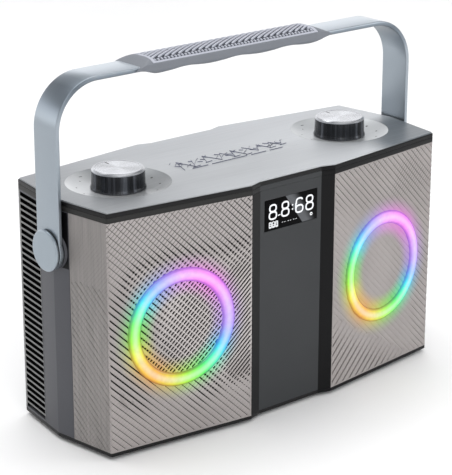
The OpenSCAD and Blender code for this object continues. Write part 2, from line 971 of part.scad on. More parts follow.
module ring_light(side) {
    color("#e8d8f8") turned(side) difference() {
        union() {
            polygon([
                for (a = [0 : 12 : 180])
                    [ring_mid_r - ring_half * cos(a),
                        -ring_proud * sin(a)],
                [ring_r, lamp_front],
                [ring_inner_r, lamp_front]
            ]);
            translate([lip_r, grille_t])
                square([ring_inner_r - lip_r + eps, lip_t]);
            translate([ring_r - eps, grille_t])
                square([rim_r - ring_r + eps, lip_t]);
        }
        translate([ring_inner_r + ring_wall, ring_wall - ring_proud / 2])
            square([2 * (ring_half - ring_wall),
                lamp_front + 1 - ring_wall + ring_proud / 2]);
    }
}

module left_ring_light() { ring_light(-1); }
module right_ring_light() { ring_light(1); }

module lamp_boards() {
    color("#e9e9ec") for (side = SIDES) {
        turned(side) translate([cone_hole_r + 0.1, lamp_front])
            square([rim_r - cone_hole_r - 0.1, lamp_board_t]);
        on_face(side, ring_z) for (i = [0 : lamp_count - 1])
            rotate([0, i * 360 / lamp_count, 0])
                box_at(ring_mid_r, lamp_front - 1.4, 0, 3.5, 1.4 + eps, 3.5);
    }
}

module centre_grille(side) {
    disc_r = ring_inner_r - ring_gap;
    color("#a39c9b") difference() {
        turned(side) square([disc_r, grille_t]);
        intersection() {
            weave(side);
            turned(side) translate([0, -2])
                square([disc_r - weave_hem, 2 + grille_t]);
        }
    }
}

module left_centre_grille() { centre_grille(-1); }
module right_centre_grille() { centre_grille(1); }

// Speaker drivers

module driver_screw_places(side) {
    on_face(side, ring_z) for (a = [45 : 90 : 315])
        rotate([0, a, 0]) translate([driver_screw_circle, 0, 0]) children();
}

module basket(side) {
    neck_r = magnet_r + 1;
    color("#3d3f45") difference() {
        turned(side) polygon([
            [cone_hole_r - 3.5, baffle_back], [flange_r, baffle_back],
            [flange_r, flange_back], [cone_hole_r + 1, flange_back],
            [neck_r, frame_back], [coil_r + 0.6, frame_back],
            [coil_r + 0.6, frame_back - 1.6], [neck_r - 1, frame_back - 1.6],
            [cone_hole_r - 1, flange_back], [cone_hole_r - 3.5, flange_back]
        ]);
        on_face(side, ring_z) for (a = [0 : 90 : 270])
            rotate([0, a, 0])
                translate([neck_r - 6, flange_back + 2, -neck_r / 2])
                    cube([far, frame_depth - 6, neck_r]);
        driver_screw_places(side)
            translate([0, baffle_back - 1, 0]) rotate([-90, 0, 0])
                cylinder(r = screw_r + screw_gap, h = flange_t + 2);
    }
}

module left_basket() { basket(-1); }
module right_basket() { basket(1); }

module cone(side) {
    rim_d = baffle_back - cone_lift;
    neck_d = rim_d + cone_depth;
    dome_r = coil_r + cap_t;
    dome_d = neck_d - cap_seat;
    coil_d = frame_back + coil_dip;
    former_r = coil_r - former_t;
    color("#38393d") turned(side) {
        polygon([
            [cone_r, rim_d], [cone_r, rim_d + paper_t],
            [coil_r, neck_d + paper_t], [coil_r, coil_d],
            [former_r, coil_d], [former_r, neck_d - paper_t / 2],
            [dome_r + cap_seat / 2, dome_d]
        ]);
        difference() {
            polygon([
                [0, dome_d - cap_rise], each [for (a = [80 : -10 : 0])
                    [dome_r * cos(a) + cap_seat, dome_d - cap_rise * sin(a)]],
                [dome_r, neck_d - cap_t], [0, neck_d - cap_t]
            ]);
            translate([-eps, dome_d - cap_rise + cap_t])
                square([dome_r - 1 + eps, cap_rise]);
        }
    }
}

module left_cone() { cone(-1); }
module right_cone() { cone(1); }

module surround(side) {
    mid = (cone_r + cone_hole_r - 2) / 2;
    half = (cone_hole_r - 2 - cone_r) / 2;
    base = baffle_back - cone_lift;
    color("#1b1b1d") turned(side) {
        polygon([
            each [for (a = [0 : 15 : 180])
                [mid - half * cos(a), base - half * sin(a)]],
            each [for (a = [180 : -15 : 0])
                [mid - (half - 0.7) * cos(a), base - (half - 0.7) * sin(a)]]
        ]);
        translate([cone_r - 1.4, base - 0.6]) square([2, 0.6]);
        translate([mid + half - 0.7, base]) square([2.4, 0.6]);
    }
}

module left_surround() { surround(-1); }
module right_surround() { surround(1); }

module driver_magnets() {
    gap_r = coil_r + 0.3;
    color("#55585e") for (side = SIDES) turned(side) {
        difference() {
            translate([0, frame_back])
                square([magnet_r, magnet_t + back_plate_t]);
            translate([coil_r - 1.2, frame_back - 1])
                square([gap_r - coil_r + 1.2, magnet_t + 1]);
        }
    }
}

module driver_screws() {
    color("#8d9096") for (side = SIDES) driver_screw_places(side) {
        translate([0, flange_back, 0]) rotate([-90, 0, 0])
            cylinder(r = screw_head_r, h = screw_head_t);
        translate([0, baffle_back - 1.8, 0]) rotate([-90, 0, 0])
            cylinder(r = screw_r, h = flange_t + 1.8 + eps);
    }
}

// Top

module top_trim() {
    color("#2c2d30") ring_wall(trim_z, trim_t, 0, grille_t + ledge_w);
}

module top_cover() {
    color("#222327") difference() {
        slab(cover_z, cover_t, 0);
        for (side = SIDES)
            translate([side * dial_x, 0, cover_z - 1])
                cylinder(r = dish_r + 0.4, h = cover_t + 2);
    }
}

// Section of a dish: a flat floor and a rim that curves up to the plate
function dish_points(lift) = [
    for (k = [0 : 10])
        let (t = k / 10)
        [dish_floor_r + (dish_r - dish_floor_r) * t,
            dish_z + dish_depth * t * t - lift]
];

module top_plate() {
    color("#c3c6ca") difference() {
        union() {
            difference() {
                slab(plate_z, plate_t, plate_step);
                for (side = SIDES)
                    translate([side * dial_x, 0, plate_z - 1])
                        cylinder(r = dish_r - eps, h = plate_t + 2);
            }
            for (side = SIDES) translate([side * dial_x, 0, 0])
                rotate_extrude() polygon([
                    [0, dish_z], each dish_points(0),
                    each [for (p = [10 : -1 : 0]) dish_points(plate_t)[p]],
                    [0, dish_z - plate_t]
                ]);
        }
        translate([0, 0, plate_z + plate_t / 2])
            translate([-relief_w / 2 - 0.1, -relief_d / 2 - 0.1 + 1, 0])
                cube([relief_w + 0.2, relief_d + 0.2, plate_t]);
        for (side = SIDES) translate([side * dial_x, 0, 0])
            cylinder(r = shaft_r + 0.7, h = far);
    }
}

// Band of raised lozenges and slanted ribs, set into the top plate
module relief_band() {
    z0 = plate_z + plate_t / 2;
    cell = relief_w / relief_count;
    lean = atan2(relief_d, cell);
    color("#8f9399") translate([0, 1, 0]) {
        translate([-relief_w / 2, -relief_d / 2, z0])
            cube([relief_w, relief_d, plate_t / 2]);
        intersection() {
            translate([-relief_w / 2, -relief_d / 2, top_z - eps])
                cube([relief_w, relief_d, relief_h + eps]);
            union() {
                for (i = [0 : relief_count - 1], s = SIDES)
                    translate([(i + 0.5) * cell - relief_w / 2, 0, top_z])
                        rotate([0, 0, s * lean])
                            cube([2 * relief_d, relief_rib, 4 * relief_h],
                                center = true);
                for (y = [-1 : 1])
                    translate([0, y * (relief_d - relief_rib) / 2, top_z])
                        cube([relief_w, relief_rib, 4 * relief_h],
                            center = true);
            }
        }
    }
}

// Dials

module potentiometers() {
    color("#6d7076") for (side = SIDES) translate([side * dial_x, 0, 0])
        difference() {
            union() {
                translate([0, 0, dish_under_z - pot_h])
                    cylinder(r = pot_r, h = pot_h);
                translate([0, 0, dish_under_z - eps])
                    cylinder(r = bush_r, h = plate_t + bush_rise + eps);
                translate([0, 0, dish_z])
                    cylinder(r = nut_r, h = nut_t, $fn = 6);
            }
            translate([0, 0, dish_under_z - pot_h + 1.5])
                cylinder(r = shaft_r + shaft_gap, h = far);
        }
}

module knob_skirt(side) {
    color("#34363a") translate([side * dial_x, 0, 0]) rotate_extrude()
        polygon([
            [shaft_r + 0.02, knob_deck_z],
            [shaft_r + 0.02, hub_z],
            [shaft_r + 3, hub_z],
            [shaft_r + 3, knob_cavity_z],
            [knob_r - 2.4, knob_cavity_z],
            [knob_r - 2.4, knob_base_z],
            [knob_r + 0.7, knob_base_z],
            [knob_r + 0.7, knob_base_z + 0.9],
            [knob_r, knob_base_z + 2.4],
            [knob_r - 0.3, knob_deck_z]
        ]);
}

module knob_cap(side) {
    bevel = 1.2;
    color("#d8dadd") translate([side * dial_x, 0, 0]) rotate_extrude()
        polygon([
            [0, knob_deck_z], [knob_r - 0.3, knob_deck_z],
            [knob_r - 0.3, knob_top_z - bevel],
            [knob_r - 0.3 - bevel, knob_top_z], [0, knob_top_z]
        ]);
}

module knob_shaft(side) {
    color("#a9adb3") translate([side * dial_x, 0, dish_under_z - pot_h + 2])
        cylinder(r = shaft_r,
            h = knob_deck_z - dish_under_z + pot_h - 2);
}

module left_knob_skirt() { knob_skirt(-1); }
module left_knob_cap() { knob_cap(-1); }
module left_knob_shaft() { knob_shaft(-1); }
module right_knob_skirt() { knob_skirt(1); }
module right_knob_cap() { knob_cap(1); }
module right_knob_shaft() { knob_shaft(1); }

// Inside

module main_board() {
    z0 = wall_z + post_h;
    z1 = z0 + board_t - eps;
    color("#1f5a3a") {
        translate([-main_board_l / 2, -main_board_w / 2, z0])
            cube([main_board_l, main_board_w, board_t]);
        for (i = [0 : 2])
            translate([(i - 4) * capacitor_pitch, main_board_w / 4, z1])
                cylinder(r = capacitor_r, h = capacitor_h);
        translate([main_board_l / 5, 6, z1]) cube([20, 14, 6]);
        translate([-main_board_l / 2 + 14, -main_board_w / 3, z1])
            cube([14, 14, 2]);
    }
}

module heat_sink() {
    z0 = wall_z + post_h + board_t;
    fin_pitch = (sink_w - fin_t) / (fin_count - 1);
    color("#a9adb3") translate([4 - sink_w / 2, -sink_d / 2 - 8, z0]) {
        cube([sink_w, sink_d, 3]);
        for (i = [0 : fin_count - 1]) translate([i * fin_pitch, 0, 0])
            cube([fin_t, sink_d, sink_h]);
    }
}

module battery_pack() {
    color("#2f6fb0") translate([-(corner_x - 18), 4, wall_z]) {
        for (i = [0 : 1]) translate([0, cell_r + i * cell_pitch, cell_r])
            rotate([0, 90, 0]) cylinder(r = cell_r, h = battery_l);
        translate([battery_inset, cell_r, 0.3 * cell_r])
            cube([battery_l - 2 * battery_inset, cell_pitch, 1.4 * cell_r]);
    }
}

// Handle

module arch(half_w, top, r) {
    translate([-half_w, pivot_z]) square([2 * half_w, top - r - pivot_z]);
    translate([-half_w + r, pivot_z])
        square([2 * (half_w - r), top - pivot_z]);
    for (side = SIDES)
        translate([side * (half_w - r), top - r]) circle(r = r);
}

module strap_slot(gap) {
    translate([-far / 2, -strap_w / 2 - gap, strap_low_z - gap])
        cube([far, strap_w + 2 * gap, strap_t + 2 * gap]);
}

module grip_screw_places() {
    for (side = SIDES)
        translate([grip_shift + side * grip_screw_x, 0, 0]) children();
}

module handle_strap() {
    color("#c4cdd4") difference() {
        union() {
            translate([0, strap_w / 2, 0]) rotate([90, 0, 0])
                linear_extrude(strap_w) difference() {
                    arch(strap_out_x, strap_top_z, strap_bend_r);
                    translate([0, -1])
                        arch(strap_in_x, strap_low_z + 1,
                            strap_bend_r - strap_t);
                }
            for (side = SIDES)
                pivot_rod(side, strap_end_r, strap_in_x, strap_out_x);
        }
        for (side = SIDES)
            pivot_rod(side, pivot_r + pivot_gap, strap_in_x - 1,
                strap_out_x + 1);
        grip_screw_places() translate([0, 0, strap_low_z - 1])
            cylinder(r = screw_r + screw_gap, h = strap_t + 2);
    }
}

// Grip seen from the front: wavy underside, sloped ends, level crown line
function grip_side_profile() = [
    for (k = [0 : 76])
        let (x = -grip_len / 2 + k * grip_len / 76)
        [x, underside_z(x)],
    [grip_len / 2 - grip_top_run, strap_top_z + crown_rise],
    [-grip_len / 2 + grip_top_run, strap_top_z + crown_rise]
];

// Grip seen from the end: crowned top and rounded lower edges
function grip_end_profile() = [
    let (r = 4)
        each [for (a = [0 : 15 : 90])
            [grip_w / 2 - r + r * sin(a),
                strap_low_z - ridge_drop + r - r * cos(a)]],
    for (k = [-8 : 8])
        let (t = -k / 8)
        [t * grip_w / 2,
            strap_top_z + crown_rise
                - (crown_rise - edge_rise) * pow(abs(t), 2.4)],
    let (r = 4)
        each [for (a = [90 : -15 : 0])
            [-grip_w / 2 + r - r * sin(a),
                strap_low_z - ridge_drop + r - r * cos(a)]]
];

module grip_solid() {
    intersection() {
        translate([grip_shift, grip_w, 0]) rotate([90, 0, 0])
            linear_extrude(2 * grip_w) polygon(grip_side_profile());
        translate([grip_x0 - 1, 0, 0]) rotate([90, 0, 90])
            linear_extrude(grip_len + 2) polygon(grip_end_profile());
    }
}

module grip_lower() {
    color("#8f93a0") difference() {
        intersection() {
            grip_solid();
            translate([-far / 2, -far / 2, 0])
                cube([far, far, grip_seat_z]);
        }
        strap_slot(strap_slot_gap);
        grip_screw_places() {
            translate([0, 0, strap_low_z - far / 2])
                cylinder(r = screw_r + screw_gap, h = far / 2 + 1);
            translate([0, 0, grip_head_seat_z - ridge_drop])
                cylinder(r = screw_head_r + 0.2, h = ridge_drop);
        }
    }
}

module pad_space(gap) {
    translate([grip_shift - pad_len / 2 - gap, -pad_w / 2 - gap, pad_low_z])
        cube([pad_len + 2 * gap, pad_w + 2 * gap, far / 2]);
}

module grip_upper() {
    color("#9a9eab") difference() {
        intersection() {
            grip_solid();
            translate([-far / 2, -far / 2, grip_seat_z])
                cube([far, far, far]);
        }
        pad_space(0.1);
        grip_screw_places() translate([0, 0, strap_top_z - 1])
            cylinder(r = screw_r + 0.05, h = 2.4);
    }
}

module grip_pad() {
    color("#a7a9b4") intersection() {
        grip_solid();
        pad_space(0);
    }
}

module grip_screws() {
    color("#8d9096") grip_screw_places() {
        translate([0, 0, grip_head_seat_z - screw_head_t])
            cylinder(r = screw_head_r, h = screw_head_t);
        translate([0, 0, grip_head_seat_z - eps])
            cylinder(r = screw_r, h = strap_top_z + 1.2 - grip_head_seat_z);
    }
}

module pivot_caps() {
    color("#b7c0c8") for (side = SIDES) difference() {
        mirror([side < 0 ? 1 : 0, 0, 0]) translate([0, 0, pivot_z])
            rotate([0, 90, 0]) rotate_extrude() polygon([
                [0, strap_out_x], [pivot_cap_r, strap_out_x],
                [pivot_cap_r, strap_out_x + pivot_cap_t - 0.8],
                [pivot_cap_r - 0.8, strap_out_x + pivot_cap_t],
                [0, strap_out_x + pivot_cap_t]
            ]);
        pivot_rod(side, bolt_head_r + 0.4, strap_out_x - 1,
            bolt_head_x + bolt_head_t + 0.3);
    }
}

module pivot_bolts() {
    color("#8d9096") for (side = SIDES) {
        pivot_rod(side, bolt_thread_r, boss_x - boss_depth - 4, boss_x + eps);
        pivot_rod(side, pivot_r, boss_x, bolt_head_x + eps);
        pivot_rod(side, bolt_head_r, bolt_head_x, bolt_head_x + bolt_head_t);
        pivot_rod(side, bolt_thread_r + 2.5, boss_x - boss_depth - 3,
            boss_x - boss_depth);
    }
}

module pivot_washers() {
    color("#1b1b1d") for (side = SIDES) difference() {
        pivot_rod(side, boss_r - 1, boss_x, washer_x);
        pivot_rod(side, pivot_r + 0.1, boss_x - 1, washer_x + 1);
    }
}

base_plate();
feet();
left_side_frame();
right_side_frame();
back_cover();
vent_screens();
port_panel();
port_board();
media_sockets();
audio_jacks();
dc_inlet();
rocker_housing();
power_rocker();
previous_button();
play_button();
next_button();
tact_switches();
front_baffle();
centre_column();
display_lens();
display_board();
left_grille();
right_grille();
left_ring_light();
right_ring_light();
lamp_boards();
left_centre_grille();
right_centre_grille();
left_basket();
right_basket();
left_cone();
right_cone();
left_surround();
right_surround();
driver_magnets();
top_trim();
top_cover();
top_plate();
relief_band();
main_board();
heat_sink();
battery_pack();
potentiometers();
left_knob_skirt();
left_knob_cap();
left_knob_shaft();
right_knob_skirt();
right_knob_cap();
right_knob_shaft();
handle_strap();
grip_lower();
grip_upper();
grip_pad();
pivot_caps();
pivot_bolts();
pivot_washers();
base_screws();
driver_screws();
grip_screws();
panel_screws();
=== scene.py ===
from math import asin, atan2, copysign, cos, floor, hypot, pi, radians, sin, sqrt

import bmesh
import bpy
from mathutils import Matrix, Vector
from mathutils.geometry import tessellate_polygon


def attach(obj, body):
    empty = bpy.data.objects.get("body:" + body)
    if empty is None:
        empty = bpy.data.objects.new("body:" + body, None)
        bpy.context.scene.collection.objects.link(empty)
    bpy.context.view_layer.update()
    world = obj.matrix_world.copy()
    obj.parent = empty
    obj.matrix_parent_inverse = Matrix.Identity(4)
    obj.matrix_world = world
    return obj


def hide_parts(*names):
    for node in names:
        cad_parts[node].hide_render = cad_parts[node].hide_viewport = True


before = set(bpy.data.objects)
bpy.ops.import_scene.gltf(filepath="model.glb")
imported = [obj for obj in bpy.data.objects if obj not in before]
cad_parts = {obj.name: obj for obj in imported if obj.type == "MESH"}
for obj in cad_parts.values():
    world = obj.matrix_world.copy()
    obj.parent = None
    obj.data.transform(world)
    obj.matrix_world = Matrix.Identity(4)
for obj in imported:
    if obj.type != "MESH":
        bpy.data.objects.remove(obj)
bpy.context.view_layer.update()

MM = 0.001
scene = bpy.context.scene
scene.view_settings.view_transform = "Standard"
scene.view_settings.look = "None"

# camera

PHOTO_H, FOCAL_PIXELS, SENSOR = 475, 1839.96, 36
EYE_DISTANCE, AIM_Z, AIM_RIGHT, AIM_UP = 1.43207, 0.093, -0.006062, 0.026157
AZ, EL, ROLL = (radians(a) for a in (-40.046, 19.01, 0.045))
back = Vector((sin(AZ) * cos(EL), -cos(AZ) * cos(EL), sin(EL)))
right = Vector((cos(AZ), sin(AZ), 0))
up = back.cross(right)
aim = Vector((0, 0, AIM_Z)) + right * AIM_RIGHT + up * AIM_UP
eye = aim + back * EYE_DISTANCE
right, up = (right * cos(ROLL) + up * sin(ROLL),
             up * cos(ROLL) - right * sin(ROLL))
cam_data = bpy.data.cameras.new("camera")
cam_data.sensor_width = SENSOR
cam_data.lens = FOCAL_PIXELS * SENSOR / PHOTO_H
cam_data.clip_start = 0.05
cam = bpy.data.objects.new("camera", cam_data)
scene.collection.objects.link(cam)
cam.matrix_world = Matrix(((right.x, up.x, back.x, eye.x), (right.y, up.y, back.y, eye.y),
                           (right.z, up.z, back.z, eye.z), (0, 0, 0, 1)))
scene.camera = cam


# node helpers

class Shader:
    """Builds one procedural material."""

    def __init__(self, name):
        self.mat = bpy.data.materials.new(name)
        self.mat.use_nodes = True
        self.tree = self.mat.node_tree
        self.tree.nodes.clear()
        self.out = self.tree.nodes.new("ShaderNodeOutputMaterial")
        self.bsdf = self.tree.nodes.new("ShaderNodeBsdfPrincipled")
        self.tree.links.new(self.bsdf.outputs[0], self.out.inputs["Surface"])
        self.coords = self.tree.nodes.new("ShaderNodeTexCoord").outputs["Object"]

    def put(self, socket, value):
        if isinstance(value, bpy.types.NodeSocket):
            self.tree.links.new(value, socket)
        elif isinstance(value, (tuple, list)) and len(value) == 3 and socket.type == "RGBA":
            socket.default_value = (*value, 1)
        else:
            socket.default_value = value

    def node(self, kind, values=(), out=0, **props):
        n = self.tree.nodes.new("ShaderNode" + kind)
        for k, v in props.items():
            setattr(n, k, v)
        for k, v in dict(values).items():
            self.put(n.inputs[k], v)
        return n.outputs[out]

    def math(self, op, a, b=0.0):
        return self.node("Math", {0: a, 1: b}, operation=op)

    def add(self, a, b):
        return self.math("ADD", a, b)

    def sub(self, a, b):
        return self.math("SUBTRACT", a, b)

    def mul(self, a, b):
        return self.math("MULTIPLY", a, b)

    def absolute(self, a):
        return self.math("ABSOLUTE", a)

    def distance(self, a, b):
        return self.math("SQRT", self.add(self.mul(a, a), self.mul(b, b)))

    def axis(self, k, of=None):
        """One coordinate of a point: 0, 1 or 2 for X, Y or Z."""
        return self.node("SeparateXYZ", {0: of or self.coords}, out=k)

    def noise(self, scale, detail=3.0, rough=0.55, stretch=None):
        vector = self.coords
        if stretch:
            vector = self.node("Mapping", {"Vector": vector, "Scale": stretch})
        return self.node("TexNoise", {"Vector": vector, "Scale": scale, "Detail": detail, "Roughness": rough})

    def stripes(self, value):
        """Noise that changes along one value alone."""
        return self.node("TexNoise", {"W": value, "Scale": 1.0, "Detail": 2.0}, noise_dimensions="1D")

    def remap(self, value, a, b, c=0.0, d=1.0, smooth=False):
        return self.node("MapRange", {"Value": value, "From Min": a, "From Max": b, "To Min": c, "To Max": d},
                         interpolation_type="SMOOTHSTEP" if smooth else "LINEAR", clamp=True)

    def mix(self, fac, a, b, mode="MIX"):
        return self.node("Mix", {0: fac, 6: a, 7: b}, out=2, data_type="RGBA", blend_type=mode)

    def times(self, a, b):
        return self.mix(1.0, a, b, "MULTIPLY")

    def dim(self, color, level):
        return self.times(color, self.node("CombineColor", {0: level, 1: level, 2: level}))

    def ramp(self, fac, stops):
        n = self.tree.nodes.new("ShaderNodeValToRGB")
        el = n.color_ramp.elements
        while len(el) < len(stops):
            el.new(0.5)
        for e, (p, c) in zip(el, stops):
            e.position = p
            e.color = (*c, 1)
        self.put(n.inputs[0], fac)
        return n.outputs[0]

    def bump(self, height, strength, distance, normal=None):
        values = {"Height": height, "Strength": strength, "Distance": distance}
        if normal is not None:
            values["Normal"] = normal
        return self.node("Bump", values)

    def set(self, **values):
        for k, v in values.items():
            self.put(self.bsdf.inputs[k.replace("_", " ")], v)
        return self.mat


def lin(*rgb):
    """Linear colour from picture values 0 to 255."""
    f = [c / 255 for c in rgb]
    return tuple(c / 12.92 if c <= 0.04045 else ((c + 0.055) / 1.055) ** 2.4 for c in f)


def shade(c, k):
    return tuple(min(1.0, x * k) for x in c)


# Painted shade and reflection on the strap's bends: tone against height in metres, as shares of the strap's
# colour
BEND_SHADE_LOW, BEND_SHADE_HIGH = 0.2, 0.28
BEND_SHADE_TONES = [(0.0, (0.95, 0.95, 0.95)), (0.4, (0.95, 0.95, 0.95)), (0.56, (1.0, 1.0, 1.0)),
              (0.7, (0.62, 0.64, 0.66)), (0.84, (0.4, 0.42, 0.44)), (0.895, (0.6, 0.62, 0.64)),
              (0.916, (1.0, 1.0, 1.0))]


def finish(name, rgb, rough=0.45, metal=0.0, spec=0.5, var=0.08, blotch=35, grain=1800, relief=0.25,
           depth=0.00003, spread=0.1, wear=0.12, radius=0.0004, bend_shade=False):
    """Moulded plastic, painted or bare metal: blotches, fine grain, soft and worn edges; optionally painted
    shade and reflection by height on the strap's bends.
    """
    s = Shader(name)
    color = lin(*rgb)
    large = s.noise(blotch, 4, 0.6)
    fine = s.noise(grain, 2, 0.5)
    base = s.mix(s.remap(large, 0.3, 0.7), shade(color, 1 - var), shade(color, 1 + var))
    base = s.mix(s.remap(fine, 0.35, 0.65, 0.0, 0.35), base, shade(color, 1 - 1.6 * var))
    soft = None
    if radius:
        soft = s.node("Bevel", {"Radius": radius}, samples=4)
        normal = s.node("NewGeometry", out=1)
        flatness = s.node("VectorMath", {0: soft, 1: normal}, out=1, operation="DOT_PRODUCT")
        worn = shade(color, 1.7 if sum(color) > 0.12 else 2.6)
        base = s.mix(s.remap(flatness, 0.995, 0.9, 0.0, wear), base, worn)
    # painted shade and reflection on the strap's bends, by height
    if bend_shade:
        base = s.times(base, s.ramp(s.remap(s.axis(2), BEND_SHADE_LOW, BEND_SHADE_HIGH), BEND_SHADE_TONES))
    uneven = s.add(rough - spread / 2, s.mul(s.add(large, fine), spread / 2))
    return s.set(Base_Color=base, Roughness=uneven, Metallic=metal, Specular_IOR_Level=spec,
                 Normal=s.bump(fine, relief, depth, soft))


# shape helpers

class Shape:
    """Gathers points and faces of one piece, in millimetres."""

    def __init__(self):
        self.v, self.f, self.m = [], [], []

    def add(self, verts, faces, m=0):
        n = len(self.v)
        self.v += [tuple(v) for v in verts]
        self.f += [tuple(i + n for i in f) for f in faces]
        self.m += [m] * len(faces)

    def rings(self, rings, closed=True, m=0, flip=False, caps=(False, False)):
        """Skin between rings of equal length."""
        k = len(rings[0])
        verts = [p for r in rings for p in r]
        faces = []
        for i in range(len(rings) - 1):
            for j in range(k if closed else k - 1):
                a, b = i * k + j, i * k + (j + 1) % k
                q = (a, b, b + k, a + k)
                faces.append(q[::-1] if flip else q)
        if caps[0]:
            q = tuple(range(k))
            faces.append(q if flip else q[::-1])
        if caps[1]:
            q = tuple(range((len(rings) - 1) * k, len(rings) * k))
            faces.append(q[::-1] if flip else q)
        self.add(verts, faces, m)

    def lathe(self, profile, axes, n=96, m=0, flip=False):
        """Profile of (radius, height) turned about the last axis of a set of axes."""
        o, x, y, z = axes
        rings = []
        for r, h in profile:
            rings.append([o + x * (r * cos(t)) + y * (r * sin(t)) + z * h
                          for t in (2 * pi * i / n for i in range(n))])
        self.rings(rings, m=m, flip=flip)

    def prism(self, loop, heights, caps=(False, False)):
        """Walls along a level loop of (x, y) from height to height."""
        self.rings([[(x, y, z) for x, y in loop] for z in heights], caps=caps)

    def close(self, tip, n, flip=False):
        """Fan from the last n points to a tip."""
        k = len(self.v)
        fan = [(k - n + i, k - n + (i + 1) % n, k) for i in range(n)]
        self.v.append(tuple(tip))
        self.f += [f[::-1] for f in fan] if flip else fan
        self.m += [0] * n

    def build(self, name, mats, slot, body="cabinet", hides=(), angle=35, merge=None):
        """Mesh object from the points and faces."""
        me = bpy.data.meshes.new(name)
        me.from_pydata([(v[0] * MM, v[1] * MM, v[2] * MM) for v in self.v], [], self.f)
        for m in mats:
            me.materials.append(m)
        if len(set(self.m)) > 1:
            me.polygons.foreach_set("material_index", self.m)
        if merge:
            bm = bmesh.new()
            bm.from_mesh(me)
            bmesh.ops.remove_doubles(bm, verts=bm.verts, dist=merge * MM)
            bmesh.ops.dissolve_degenerate(bm, dist=merge * MM, edges=bm.edges)
            bm.to_mesh(me)
            bm.free()
        me.polygons.foreach_set("use_smooth", [True] * len(me.polygons))
        me.set_sharp_from_angle(angle=radians(angle))
        me.update()
        ob = bpy.data.objects.new(name, me)
        scene.collection.objects.link(ob)
        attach(ob, body)
        if hides:
            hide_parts(*([hides] if isinstance(hides, str) else hides))


def upright(x):
    """Axes of a shape turned about an upright line at x."""
    return Vector((x, 0, 0)), Vector((1, 0, 0)), Vector((0, 1, 0)), Vector((0, 0, 1))


def smin(a, b, k):
    h = max(0.0, min(1.0, 0.5 + 0.5 * (b - a) / k))
    return b + (a - b) * h - k * h * (1 - h)


def smax(a, b, k):
    return -smin(-a, -b, k)


def ease(x, a, b):
    k = max(0.0, min(1.0, (x - a) / (b - a)))
    return k * k * (3 - 2 * k)


# plan of the cabinet

SIDE_X = 169.0
CORNER, INNER, STEP = (161.0, 54.5), (41.0, 69.0), (30.2, 65.5)
QUARTER = [CORNER, INNER, STEP]
OUTLINE = ([(SIDE_X, 0.0)] + QUARTER + [(-x, y) for x, y in QUARTER[::-1]] + [(-SIDE_X, 0.0)]
           + [(-x, -y) for x, y in QUARTER] + [(x, -y) for x, y in QUARTER[::-1]])
TOP_Z, TRIM_Z, COVER_Z, PLATE_Z = 188.0, 180.0, 184.0, 187.0
WALL_Z, BASE_Z = 6.0, 3.0
FACE_DX, FACE_DY = CORNER[0] - INNER[0], INNER[1] - CORNER[1]
FACE_LEN = hypot(FACE_DX, FACE_DY)
FACE_MID = (101.0, -61.75)
TOE = atan2(FACE_DY, FACE_DX)
SIDE_REACH, CORNER_ROUND = 38.3, 1.15
RING_Z, RING_R, RING_MID, RING_HALF = 91.0, 44.7, 39.95, 4.75
DIAL_X, DISH_R, DISH_LIP, DISH_FLOOR_R = 110.0, 39.0, 0.5, 22.0
DISH_Z, DISH_RISE, DISH_POWER = 183.5, 4.28, 1.8
SIDES = {"left": -1, "right": 1}


def left_normal(a, b):
    d = hypot(b[0] - a[0], b[1] - a[1])
    return (a[1] - b[1]) / d, (b[0] - a[0]) / d


def outline(d, r=1.5, steps=4):
    """Plan moved inwards by d, with corners of radius r."""
    n = len(OUTLINE)
    normals = [left_normal(OUTLINE[i], OUTLINE[(i + 1) % n]) for i in range(n)]
    out = []
    for i, q in enumerate(OUTLINE):
        n1, n2 = normals[i - 1], normals[i]
        k = 1 + n1[0] * n2[0] + n1[1] * n2[1]
        sx, sy = (n1[0] + n2[0]) / k, (n1[1] + n2[1]) / k
        turn = n1[0] * n2[1] - n1[1] * n2[0]
        s = 1 if turn > 0 else -1
        px, py = q[0] + d * sx, q[1] + d * sy
        cx, cy = px + s * r * sx, py + s * r * sy
        a1, da = atan2(-s * n1[1], -s * n1[0]), asin(turn)
        for j in range(steps + 1):
            a = a1 + da * j / steps
            out.append((cx + r * cos(a), cy + r * sin(a)))
    return out


def circle(cx, r, n):
    return [(cx + r * cos(2 * pi * i / n), r * sin(2 * pi * i / n)) for i in range(n)]


def round_box(hx, hy, r, n=5):
    """Rectangle of the given half sizes with rounded corners."""
    pts = []
    for cx, cy, a0 in ((hx - r, hy - r, 0), (-hx + r, hy - r, 90), (-hx + r, -hy + r, 180),
                       (hx - r, -hy + r, 270)):
        for q in range(n + 1):
            a = radians(a0 + 90 * q / n)
            pts.append((cx + r * cos(a), cy + r * sin(a)))
    return pts


def flat(shape, z, outer, holes=(), down=False):
    """Flat face with round holes."""
    loops = [outer] + [h[::-1] for h in holes]
    pts = [p for loop in loops for p in loop]
    tris = tessellate_polygon([[Vector((x, y, 0)) for x, y in loop] for loop in loops])
    faces = []
    for t in tris:
        (ax, ay), (bx, by), (cx, cy) = (pts[i] for i in t)
        ccw = (bx - ax) * (cy - ay) - (by - ay) * (cx - ax) > 0
        faces.append(tuple(t) if ccw != down else tuple(t)[::-1])
    shape.add([(x, y, z) for x, y in pts], faces)


def plate(shape, z0, z1, b, holes=()):
    """Plate of the cabinet's plan, its rims rounded by b."""
    turns = [radians(a) for a in (0, 30, 60, 90)]
    prof = [(b - b * sin(a), z0 + b - b * cos(a)) for a in turns]
    prof += [(b - b * cos(a), z1 - b + b * sin(a)) for a in turns]
    shape.rings([[(x, y, z) for x, y in outline(k)] for k, z in prof])
    flat(shape, z1, outline(b), holes)
    flat(shape, z0, outline(b), holes, down=True)
    for h in holes:
        shape.prism(h, (z1, z0))


